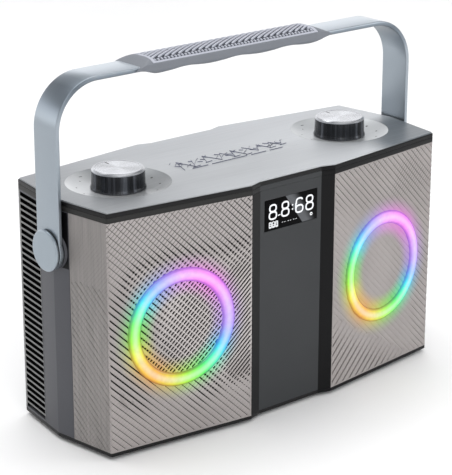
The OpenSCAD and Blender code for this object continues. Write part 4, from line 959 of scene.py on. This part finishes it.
SKIRT = [(17.4, 187.0), (17.4, 184.0), (20.3, 183.9), (20.5, 184.1), (20.5, 184.7), (20.25, 185.4),
         (19.95, 186.1), (19.8, 186.8), (19.72, 189.5), (19.62, 193.5), (19.5, 196.6), (19.42, 196.95),
         (19.1, 197.0)]
SKIRT_INSIDE = [(3.1, 188.0), (6.0, 188.0), (6.0, 187.0), (17.4, 187.0)]
CAP = [(19.0, 196.9), (19.48, 197.0), (19.5, 197.15), (19.5, 197.7), (19.35, 197.95), (18.5, 198.75),
       (18.2, 198.95), (17.8, 199.0), (17.3, 198.95), (16.9, 198.88)]
CAP += [(16.9 * (1 - q / 10) + 0.05, 198.88 - 0.04 * sin(pi * q / 10)) for q in range(1, 11)]
POINTER = ((-0.5, 11.5), (0.5, 11.5), (0.5, 15.8), (-0.5, 15.8))
for name, side in SIDES.items():
    x0, knob = side * DIAL_X, name + "_knob"
    skirt = Shape()
    skirt.lathe(SKIRT, upright(x0), 160)
    skirt.lathe(SKIRT_INSIDE, upright(x0), 64)
    skirt.build(knob + "_side", [KNOB_DARK], "knob_dark", body=knob, hides=knob + "_skirt", angle=32)
    cap = Shape()
    cap.lathe(CAP, upright(x0), 160)
    cap.close((x0, 0, 198.88), 160)
    cap.build(knob + "_top", [SPUN], "knob_silver", body=knob, hides=knob + "_cap", angle=25)
    dash = Shape()
    dash.prism([(x0 + x, y) for x, y in POINTER], (198.7, 198.93), (False, True))
    dash.build(knob + "_pointer", [DARK_PRINT], "knob_dark", body=knob)

# handle

STRAP_LOW, STRAP_TOP, STRAP_W, STRAP_T = 270.0, 273.5, 27.0, 3.5
HALF_OUT, HALF_IN, PIVOT_Z = 173.2, 169.7, 149.5
BEND = 37.0
BEND_Z = STRAP_TOP - BEND
MID_R, MID_X, MID_Z = BEND - STRAP_T / 2, HALF_OUT - STRAP_T / 2, STRAP_TOP - STRAP_T / 2
EYE = [(4.05, 0.0), (13.9, 0.0), (14.45, 0.2), (14.6, 0.7), (14.6, 2.8), (14.45, 3.3), (13.9, 3.5),
       (4.05, 3.5), (4.05, 0.0)]
CAP_GROOVE = [(13.4, 0.0), (13.6, 1.1), (14.8, 1.1)]
CAP_DISC = [(14.8, 1.1), (15.15, 1.12), (15.3, 1.3), (15.3, 2.7), (15.2, 2.85), (14.4, 3.38), (14.2, 3.44),
            (12.0, 3.47), (8.0, 3.5), (3.0, 3.5)]


def pivot_axes(x):
    """Axes of a part of the left or right pivot that starts at x and points outwards."""
    return Vector((x, 0, PIVOT_Z)), Vector((0, 1, 0)), Vector((0, 0, 1)), Vector((copysign(1, x), 0, 0))


# middle line of the strap, each point with the direction out of the bow
left_path = [(-MID_X, z, -1.0, 0.0) for z in (PIVOT_Z - 2.0, 165, 180, 195, 210, 225, BEND_Z)]
for q in range(1, 25):
    a = radians(180 - 90 * q / 24)
    nx, nz = cos(a), sin(a)
    left_path.append((-MID_X + MID_R + MID_R * nx, BEND_Z + MID_R * nz, nx, nz))
path = left_path + [(x, MID_Z, 0.0, 1.0) for x in range(-126, 127, 14)]
path += [(-x, z, -nx, nz) for x, z, nx, nz in left_path[::-1]]
section = round_box(STRAP_W / 2, STRAP_T / 2, 0.9, 4)
strap = Shape()
strap.rings([[(x + nx * h, w, z + nz * h) for w, h in section] for x, z, nx, nz in path], caps=(True, True))
caps = Shape()
for side in (-1, 1):
    strap.lathe(EYE, pivot_axes(side * HALF_IN), 96, flip=side < 0)
    outside = pivot_axes(side * HALF_OUT)
    # the groove under the pivot cap takes the near-black: painted shade
    caps.lathe(CAP_GROOVE, outside, 128, m=1, flip=side < 0)
    caps.lathe(CAP_DISC, outside, 128, flip=side < 0)
    caps.close(outside[0] + outside[3] * 3.5, 128, flip=side < 0)
strap.build("strap_metal_band", [STRAP], "strap_metal", body="handle", hides="handle_strap", angle=40)
caps.build("pivot_cap_discs", [CAP_METAL, SHADE_BLACK], "cap_metal", body="handle", hides="pivot_caps",
           angle=40)

# painted shadow of the strap: near-black patches on the side frame behind it, round the washer
SIDE_SLOPE = (SIDE_X - CORNER[0]) / CORNER[1]
WASHER_R = 9.0
WHOLE, BESIDE = (0.2, 4, 8, 12, 15.9), (9.2, 12.5, 15.9)
PATCHES = ((137.5, PIVOT_Z - WASHER_R, WHOLE), (PIVOT_Z + WASHER_R, TRIM_Z - 0.3, WHOLE),
           (PIVOT_Z - WASHER_R, PIVOT_Z + WASHER_R, BESIDE))
shadow_sheet = Shape()
for side in (-1, 1):
    for k in (-1, 1):
        for z0, z1, steps in PATCHES:
            edge_row = [(steps[0], -0.1)] + [(y, 0.12) for y in steps] + [(steps[-1], -0.1)]
            shadow_sheet.rings([[(side * (SIDE_X - y * SIDE_SLOPE + out), k * y, z) for y, out in edge_row]
                         for z in (z0, (z0 + z1) / 2, z1)], closed=False, flip=side * k > 0)
shadow_sheet.build("strap_painted_shadow", [SHADE_BLACK], "screen_black", angle=40)

# grip

GRIP_LEN, GRIP_X, GRIP_W = 190.0, -8.0, 31.0
CROWN, EDGE, RIDGE, DIP, WAVE = 4.6, 0.9, 3.6, 2.2, 49.0
PAD_L = 160.0
TIP_L, TIP_STEP = 22, 1.05
UPPER_Y = [15.5, 15.35, 15.1, 14.82, 14.78, 14.2, 13.2, 12.0, 10.5, 8.5, 6.0, 3.5, 1.2]
UPPER_Y += [-y for y in UPPER_Y[::-1]]
LOWER_Y = [0.0, 4.0, 8.0, 11.5, 13.0, 14.2, 15.0, 15.4, 15.5]
LOWER_Y = [-y for y in LOWER_Y[:0:-1]] + LOWER_Y
END_X = (PAD_L / 2 + 0.04, 81, 82, 83, 84.5, 86, 88, 90, 92, 93.5, 94.5, 95)


def grip_low(x):
    """Wavy underside, which runs out into the strap at the tips."""
    wave = (1 + cos(2 * pi * x / WAVE)) / 2
    tip = ease(abs(x), GRIP_LEN / 2 - TIP_L, GRIP_LEN / 2)
    return STRAP_LOW - RIDGE + DIP * wave * (1 - tip) + (RIDGE + STRAP_T * 0.3) * tip


def crown(y):
    return STRAP_TOP + CROWN - (CROWN - EDGE) * abs(y / (GRIP_W / 2)) ** 3.6


def grip_top(x, y):
    slope = STRAP_LOW + TIP_STEP + (GRIP_LEN / 2 - abs(x)) * (STRAP_T + CROWN - TIP_STEP) / 14
    return smin(crown(y), slope, 1.4)


grip = Shape()
grip_x = [round(-80 + 160 * k / 76, 3) for k in range(77)] + [s * v for s in (-1, 1) for v in END_X]
rows = []
for x in sorted(set(grip_x)):
    row = []
    for y in UPPER_Y:
        sunk = 1.0 if abs(y) < 14.8 and abs(x) <= PAD_L / 2 else 0.0
        row.append((x + GRIP_X, y, grip_top(x, y) - sunk))
    for y in LOWER_Y:
        round_edge = STRAP_LOW - RIDGE + (4 - sqrt(max(0.0, 16 - max(0.0, abs(y) - 11.5) ** 2)))
        z = smax(grip_low(x), round_edge, 0.8) if abs(x) < 94 else grip_low(x)
        row.append((x + GRIP_X, y, min(z, grip_top(x, y))))
    rows.append(row)
grip.rings(rows, flip=True, caps=(True, True))
grip.build("grip_shell", [GRIP], "grip_grey", body="handle", hides=("grip_lower", "grip_upper"), angle=42)

# pad of the grip: a wide row of slanted ribs, a narrow row of short ones and a frame round them

pad = Shape()
pad_x = [-PAD_L / 2 + 0.15 + (PAD_L - 0.3) * k / 64 for k in range(65)]
pad_y = [-14.7 + 29.4 * k / 28 for k in range(29)]
pad.rings([[(x + GRIP_X, y, crown(y) - 0.95) for y in pad_y] for x in pad_x], closed=False, m=1)
RIB_SECTION = ((-0.5, 0.0), (-0.46, 0.55), (-0.3, 0.92), (0.0, 1.0), (0.3, 0.92), (0.46, 0.55), (0.5, 0.0))
RIB_END = PAD_L / 2 - 2.6


def rib(x0, y0, x1, y1, w, h, n=12):
    """Rounded rib on the pad; one that runs on to a greater x is cut at the pad's ends."""
    t0, t1 = 0.0, 1.0
    if x1 > x0:
        t0 = max(0.0, (-RIB_END - x0) / (x1 - x0))
        t1 = min(1.0, (RIB_END - x0) / (x1 - x0))
    if t1 - t0 < 0.06:
        return
    x0, y0, x1, y1 = (x0 + (x1 - x0) * t0, y0 + (y1 - y0) * t0, x0 + (x1 - x0) * t1, y0 + (y1 - y0) * t1)
    d = Vector((x1 - x0, y1 - y0, 0)).normalized()
    rows = []
    for k in range(n + 1):
        taper, low = (0.55, 0.5) if k in (0, n) else (1.0, 1.0)
        x, y = x0 + (x1 - x0) * k / n, y0 + (y1 - y0) * k / n
        row = []
        for o, e in RIB_SECTION:
            px, py = x - d.y * o * w * taper, y + d.x * o * w * taper
            row.append((px + GRIP_X, py, crown(py) - 1.0 + h * e * low))
        rows.append(row)
    pad.rings(rows, closed=False, flip=True)


for k in range(-6, 26):
    x = -PAD_L / 2 + 2.6 + 6.3 * k
    rib(x, -8.9, x + 18.0, 1.9, 1.9, 1.05)
    rib(x + 17.4, 1.55, x + 39.0, 13.6, 1.9, 1.05)
for k in range(49):
    x = -PAD_L / 2 + 4.0 + 3.15 * k
    rib(x + 0.5, -12.4, x, -10.0, 1.7, 0.95, 5)
frame_rings = []
for inset, rear, front, lift in ((0.15, 14.75, 14.75, -1.0), (0.3, 14.6, 14.6, 0.0), (2.9, 14.3, 13.3, 0.0),
                                 (3.2, 14.1, 13.0, -0.95)):
    rx = PAD_L / 2 - inset
    loop = [(-rx + 2 * rx * k / 40, rear) for k in range(40)]
    loop += [(rx, rear - (rear + front) * k / 16) for k in range(16)]
    loop += [(rx - 2 * rx * k / 40, -front) for k in range(40)]
    loop += [(-rx, -front + (rear + front) * k / 16) for k in range(16)]
    frame_rings.append([(x + GRIP_X, y, crown(y) + lift) for x, y in loop])
pad.rings(frame_rings)
pad.build("grip_pad_ribs", [PAD, GROOVE], "pad_rubber", body="handle", hides="grip_pad", angle=40)

# display

LENS_Y, LENS_Z, LENS_HALF_W, LENS_HALF_H = -65.3, 159.6, 26.0, 11.9


def lens_material():
    """Black glass with a painted reflection: a slanted pale band across its middle."""
    s = Shader("lens_glass")
    lean = s.add(s.axis(0), s.mul(s.sub(s.axis(2), LENS_Z * MM), 0.72))
    # painted reflection: a pale slanted band across the middle
    painted_streak = s.mul(s.remap(lean, 0.0028, 0.0034), s.remap(lean, 0.0175, 0.0075, smooth=True))
    tone = s.mix(s.remap(s.noise(60), 0.3, 0.7), lin(2, 2, 3), lin(5, 5, 6))
    tone = s.mix(s.mul(painted_streak, 0.9), tone, lin(98, 100, 103))
    return s.set(Base_Color=tone, Roughness=s.remap(s.noise(700), 0.3, 0.7, 0.06, 0.14),
                 Specular_IOR_Level=0.04, Normal=s.bump(s.noise(500), 0.02, 0.00001))


lens = Shape()
lens.rings([[(x, y, LENS_Z + z) for x, z in round_box(LENS_HALF_W - d, LENS_HALF_H - d, 0.8)]
            for d, y in ((0, -63.2), (0, LENS_Y + 0.25), (0.08, LENS_Y + 0.06), (0.25, LENS_Y))],
           caps=(True, True))
lens.build("display_window", [lens_material()], "lens_black", hides="display_lens")

digits = Shape()
OVAL_POWER = 2 / 2.6


def ribbon(points, w, closed=True, m=0):
    """Flat stroke of width w along points (x, z) on the lens."""
    n = len(points)
    y0, y1 = LENS_Y - 0.01, LENS_Y - 0.1
    rings = []
    for i, (x, z) in enumerate(points):
        ax, az = points[i - 1] if closed or i else points[i]
        bx, bz = points[(i + 1) % n] if closed or i < n - 1 else points[i]
        d = hypot(bx - ax, bz - az) or 1.0
        nx, nz = -(bz - az) / d * w / 2, (bx - ax) / d * w / 2
        rings.append([(x + nx, y0, z + nz), (x + nx, y1, z + nz), (x - nx, y1, z - nz), (x - nx, y0, z - nz)])
    digits.rings(rings + rings[:1] * closed, closed=False, m=m, flip=True)


def oval(cx, cz, hx, hz, n=28, a0=0, a1=360):
    """Rounded oval about a point of the lens, or the part of it between two angles."""
    pts = []
    for i in range(n if a1 - a0 == 360 else n + 1):
        a = radians(a0 + (a1 - a0) * i / n)
        c, s = cos(a), sin(a)
        pts.append((cx + hx * copysign(abs(c) ** OVAL_POWER, c),
                    cz + hz * copysign(abs(s) ** OVAL_POWER, s)))
    return pts


STROKE = 1.25
for digit, cx in zip("8868", (-17.8, -5.6, 8.4, 18.6)):
    cz = LENS_Z + 2.2
    ribbon(oval(cx, cz - 2.85, 3.5, 2.75), STROKE)
    if digit == "8":
        ribbon(oval(cx, cz + 2.75, 3.1, 2.55), STROKE)
    else:
        ribbon(oval(cx, cz + 2.75, 3.1, 2.55, a0=20, a1=205), STROKE, closed=False)
        ribbon([(cx - 3.4, cz + 2.4), (cx - 3.6, cz), (cx - 3.5, cz - 2.6)], STROKE, closed=False)
for z in (0.4, 3.6):
    ribbon(oval(1.6, LENS_Z + z, 0.35, 0.35, n=10), 0.6)
ribbon([(-12.9, LENS_Z - 1.6), (-10.4, LENS_Z - 1.3)], 0.7, closed=False)
# level marks, a row of faint ticks and a round sign
for k, x in enumerate((-20.3, -17.2, -14.1)):
    ribbon([(x + px, LENS_Z - 7.8 + pz) for px, pz in round_box(1.05, 2.1, 0.3, 2)], 0.55)
    for q in range(3 - k % 2):
        z = LENS_Z - 9.2 + 1.3 * q
        ribbon([(x - 0.7, z), (x + 0.7, z)], 0.5, closed=False)
for x in (-9.0, -6.6, -3.4, -1.0, 2.2, 4.6):
    ribbon([(x, LENS_Z - 8.0), (x + 1.3, LENS_Z - 7.7)], 0.4, closed=False, m=1)
ribbon(oval(20.4, LENS_Z - 7.2, 0.9, 0.9, n=16), 0.7)
digits.build("display_digits", [GLOW_WHITE, WHITE_PRINT], "lamp_board")

# CAD parts with softened edges

HARD_ANGLE, SHARP_ANGLE = 30, 24


def dress(node, mats, width=0.35, body="cabinet", pick=None):
    """Copy of a CAD part with rounded edges; pick gives a material's number for a face."""
    bm = bmesh.new()
    bm.from_mesh(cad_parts[node].data)
    bmesh.ops.remove_doubles(bm, verts=bm.verts, dist=0.004 * MM)
    bmesh.ops.dissolve_limit(bm, angle_limit=radians(0.6), verts=bm.verts, edges=bm.edges)
    hard = [e for e in bm.edges
            if len(e.link_faces) == 2 and e.calc_face_angle(0) > radians(HARD_ANGLE)]
    if width and hard:
        bmesh.ops.bevel(bm, geom=hard, offset=width * MM, segments=2, profile=0.6, affect="EDGES",
                        clamp_overlap=True)
    bmesh.ops.triangulate(bm, faces=[f for f in bm.faces if len(f.verts) > 4])
    bm.normal_update()
    me = bpy.data.meshes.new(node + "_soft")
    for f in bm.faces:
        f.material_index = pick(f.calc_center_median() / MM, f.normal) if pick else 0
        f.smooth = True
    bm.to_mesh(me)
    bm.free()
    for m in mats:
        me.materials.append(m)
    me.set_sharp_from_angle(angle=radians(SHARP_ANGLE))
    ob = bpy.data.objects.new(node + "_soft", me)
    scene.collection.objects.link(ob)
    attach(ob, body)
    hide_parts(node)


def rocker_material():
    """Black plastic with a ring and a stroke printed on its two faces."""
    s = Shader("rocker_black")
    x, z = s.axis(0), s.axis(2)
    r = s.distance(x, s.sub(z, 143.6 * MM))
    ring = s.remap(s.absolute(s.sub(r, 1.35 * MM)), 0.34 * MM, 0.26 * MM)
    stroke = s.mul(s.remap(s.absolute(x), 0.34 * MM, 0.26 * MM),
                   s.remap(s.absolute(s.sub(z, 150.6 * MM)), 1.5 * MM, 1.4 * MM))
    fine = s.noise(2500, 2, 0.5)
    base = s.mix(s.remap(fine, 0.3, 0.7), lin(18, 18, 20), lin(25, 25, 27))
    base = s.mix(s.add(ring, stroke), base, lin(222, 224, 228))
    return s.set(Base_Color=base, Roughness=s.remap(fine, 0.3, 0.7, 0.4, 0.5), Specular_IOR_Level=0.3,
                 Normal=s.bump(fine, 0.2, 0.00003))


def on_vents(c, n):
    """Ribs and slot walls of the side vents; the slot walls take the near-black: painted shade."""
    if abs(c.x) > 152 and 20.9 < c.y < 53.5 and 8 < c.z < 179:
        return 2 if abs(n.z) > 0.5 or abs(n.x) < 0.5 else 1
    return 0


def on_column_sides(c, n):
    # the column's slanted side facets take the near-black: painted shade
    return int(abs(n.x) > 0.2 and abs(n.y) > 0.3 or abs(c.x) > 30.3)


def on_jack_noses(c, n):
    return int(c.y > 65.02)


def on_inlet_pin(c, n):
    return int(hypot(c.x - 12, c.z - 93) < 1.4)


dress("back_cover", [SHELL_GREY, RIB_GREY, SCREEN_BLACK_AND_SLOT_SHADE], 0.0, pick=on_vents)
dress("centre_column", [COLUMN, SHADE_BLACK], 0.3, pick=on_column_sides)
for name in SIDES:
    dress(name + "_side_frame", [FRAME_GREY], 0.3)
dress("port_panel", [PANEL], 0.3)
dress("panel_screws", [STEEL], 0.45)
dress("audio_jacks", [BLACK, CHROME], 0.15, pick=on_jack_noses)
dress("dc_inlet", [BLACK, STEEL], 0.15, pick=on_inlet_pin)
dress("power_rocker", [rocker_material()], 0.25, body="rocker")

# printed marks above the push buttons, and the cross recesses of the screws as near-black marks: painted
# shade

panel_marks, crosses = Shape(), Shape()
MARK_Z, MARK_HALF = 134.3, 1.15
MARK_Y, HEAD_Y = (65.4, 65.54), (66.7, 66.83)
CROSS = [(0.28, 0.28), (0.28, 1.5), (-0.28, 1.5), (-0.28, 0.28), (-1.5, 0.28), (-1.5, -0.28),
         (-0.28, -0.28), (-0.28, -1.5), (0.28, -1.5), (0.28, -0.28), (1.5, -0.28), (1.5, 0.28)]


def printed(shape, points, depths):
    """Low mark on the rear panel, from points (x, z)."""
    shape.rings([[(x, y, z) for x, z in points] for y in depths], caps=(False, True))


for button_x, way, arrows in ((14.0, 1, 2), (0.0, -1, 1), (-14.0, -1, 2)):
    for q in range(arrows):
        tip = button_x + way * (1.1 + (q - (arrows - 1) / 2) * 2.1)
        tail, half = tip - way * 1.9, way * MARK_HALF
        printed(panel_marks, [(tip, MARK_Z), (tail, MARK_Z + half), (tail, MARK_Z - half)], MARK_Y)
    if arrows == 2:
        x0, x1 = button_x + way * 2.35 - 0.22, button_x + way * 2.35 + 0.22
        z0, z1 = MARK_Z - MARK_HALF, MARK_Z + MARK_HALF
        printed(panel_marks, [(x0, z0), (x0, z1), (x1, z1), (x1, z0)], MARK_Y)
panel_marks.build("button_marks", [WHITE_PRINT], "panel_dark")
for sx in (-21.0, 21.0):
    for sz in (56.0, 160.0):
        printed(crosses, [(sx - x, sz + z) for x, z in CROSS], HEAD_Y)
SCREW_INSET, SCREW_END = 3.1, 16
SCREW_Z = (3.3, 3.17)
# cross recesses of the screws under the base, as near-black marks: painted shade
for side in (-1, 1):
    for u in (-1, 1):
        for rear in (-1, 1):
            s = FACE_LEN / 2 + u * (FACE_LEN / 2 - SCREW_END)
            cx = side * (CORNER[0] - s * cos(TOE) - SCREW_INSET * sin(TOE))
            cy = rear * (CORNER[1] + s * sin(TOE) - SCREW_INSET * cos(TOE))
            crosses.prism([(cx + x, cy - y) for x, y in CROSS], SCREW_Z, (False, True))
crosses.build("screw_recesses", [SHADE_BLACK], "screw_steel")
for name in ("previous", "play", "next"):
    dress(name + "_button", [BLACK], 0.25, body=name + "_key")
dress("feet", [RUBBER], 0.5)

# CAD parts that keep their shape

KEEP = (
    (SCREEN_BLACK_AND_SLOT_SHADE, "vent_screens"),
    (BOARD, "port_board display_board main_board"),
    (CHROME, "media_sockets"),
    (BLACK, "rocker_housing tact_switches front_baffle"),
    (WHITE_PRINT, "lamp_boards"),
    (CONE, "left_cone right_cone"),
    (RUBBER, "left_surround right_surround"),
    (CAP_METAL, "heat_sink"),
    (WRAP, "battery_pack"),
    # the pivot washers take the near-black: painted shadow beside the strap
    (SHADE_BLACK, "pivot_washers"),
    (STEEL, "left_basket right_basket driver_magnets potentiometers left_knob_shaft right_knob_shaft"),
    (STEEL, "pivot_bolts base_screws driver_screws grip_screws"),
)
for mat, names in KEEP:
    for node in names.split():
        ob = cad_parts[node]
        if not ob.material_slots:
            ob.data.materials.append(mat)
        for slot in ob.material_slots:
            slot.material = mat

# floor and light

FLOOR_HALF, FLOOR_CELLS = 30.0, 24


def floor_material():
    s = Shader("floor_pale")
    tone = s.mix(s.remap(s.noise(3, 4), 0.3, 0.7), (0.86, 0.86, 0.86), (0.9, 0.9, 0.9))
    return s.set(Base_Color=tone, Roughness=s.remap(s.noise(60), 0.3, 0.7, 0.6, 0.75), Specular_IOR_Level=0.2)


steps = [-FLOOR_HALF + 2 * FLOOR_HALF * i / FLOOR_CELLS for i in range(FLOOR_CELLS + 1)]
row = FLOOR_CELLS + 1
corners = [j * row + i for j in range(FLOOR_CELLS) for i in range(FLOOR_CELLS)]
me = bpy.data.meshes.new("floor")
me.from_pydata([(x, y, 0) for y in steps for x in steps], [],
               [(c, c + 1, c + row + 1, c + row) for c in corners])
me.materials.append(floor_material())
ground = bpy.data.objects.new("floor", me)
scene.collection.objects.link(ground)

# a sky whose brightness falls and rises with height, brighter towards the back
world = bpy.data.worlds.new("studio")
scene.world = world
world.use_nodes = True
sky = world.node_tree
sky.nodes.clear()
kinds = ("OutputWorld", "Background", "TexCoord", "SeparateXYZ", "ValToRGB", "MapRange")
sky_out, light, coords, axes, ramp, towards_back = (sky.nodes.new("ShaderNode" + kind) for kind in kinds)
stops = ramp.color_ramp.elements
for place, v in ((0.3, 1.0), (0.44, 0.3), (0.7, 0.34)):
    stops.new(place).color = (v, v, v * 1.02, 1)
stops[0].color, stops[-1].color = (1, 1, 1, 1), (1.25, 1.25, 1.25, 1)
stops[-1].position = 0.88
towards_back.interpolation_type = "SMOOTHSTEP"
for k, v in zip((1, 2, 3, 4), (0.1, 0.6, 1.0, 1.75)):
    towards_back.inputs[k].default_value = v
for source, socket in ((coords.outputs["Generated"], axes.inputs[0]), (axes.outputs[2], ramp.inputs[0]),
                       (axes.outputs[1], towards_back.inputs[0]),
                       (towards_back.outputs[0], light.inputs["Strength"]),
                       (ramp.outputs[0], light.inputs["Color"]), (light.outputs[0], sky_out.inputs[0])):
    sky.links.new(source, socket)


def soft_light(name, loc, target, size, power):
    data = bpy.data.lights.new(name, "AREA")
    data.shape = "RECTANGLE"
    data.size, data.size_y = size
    data.energy = power
    ob = bpy.data.objects.new(name, data)
    scene.collection.objects.link(ob)
    ob.location = loc
    ob.rotation_euler = (Vector(target) - Vector(loc)).to_track_quat("-Z", "Y").to_euler()


soft_light("key", (-0.9, -1.8, 1.5), (0, 0, 0.12), (1.2, 1.2), 16)
soft_light("fill", (1.6, -1.4, 0.9), (0, 0, 0.12), (1.0, 1.4), 9)
soft_light("top", (0.1, 0.5, 1.9), (0, 0, 0.15), (1.6, 1.0), 12)
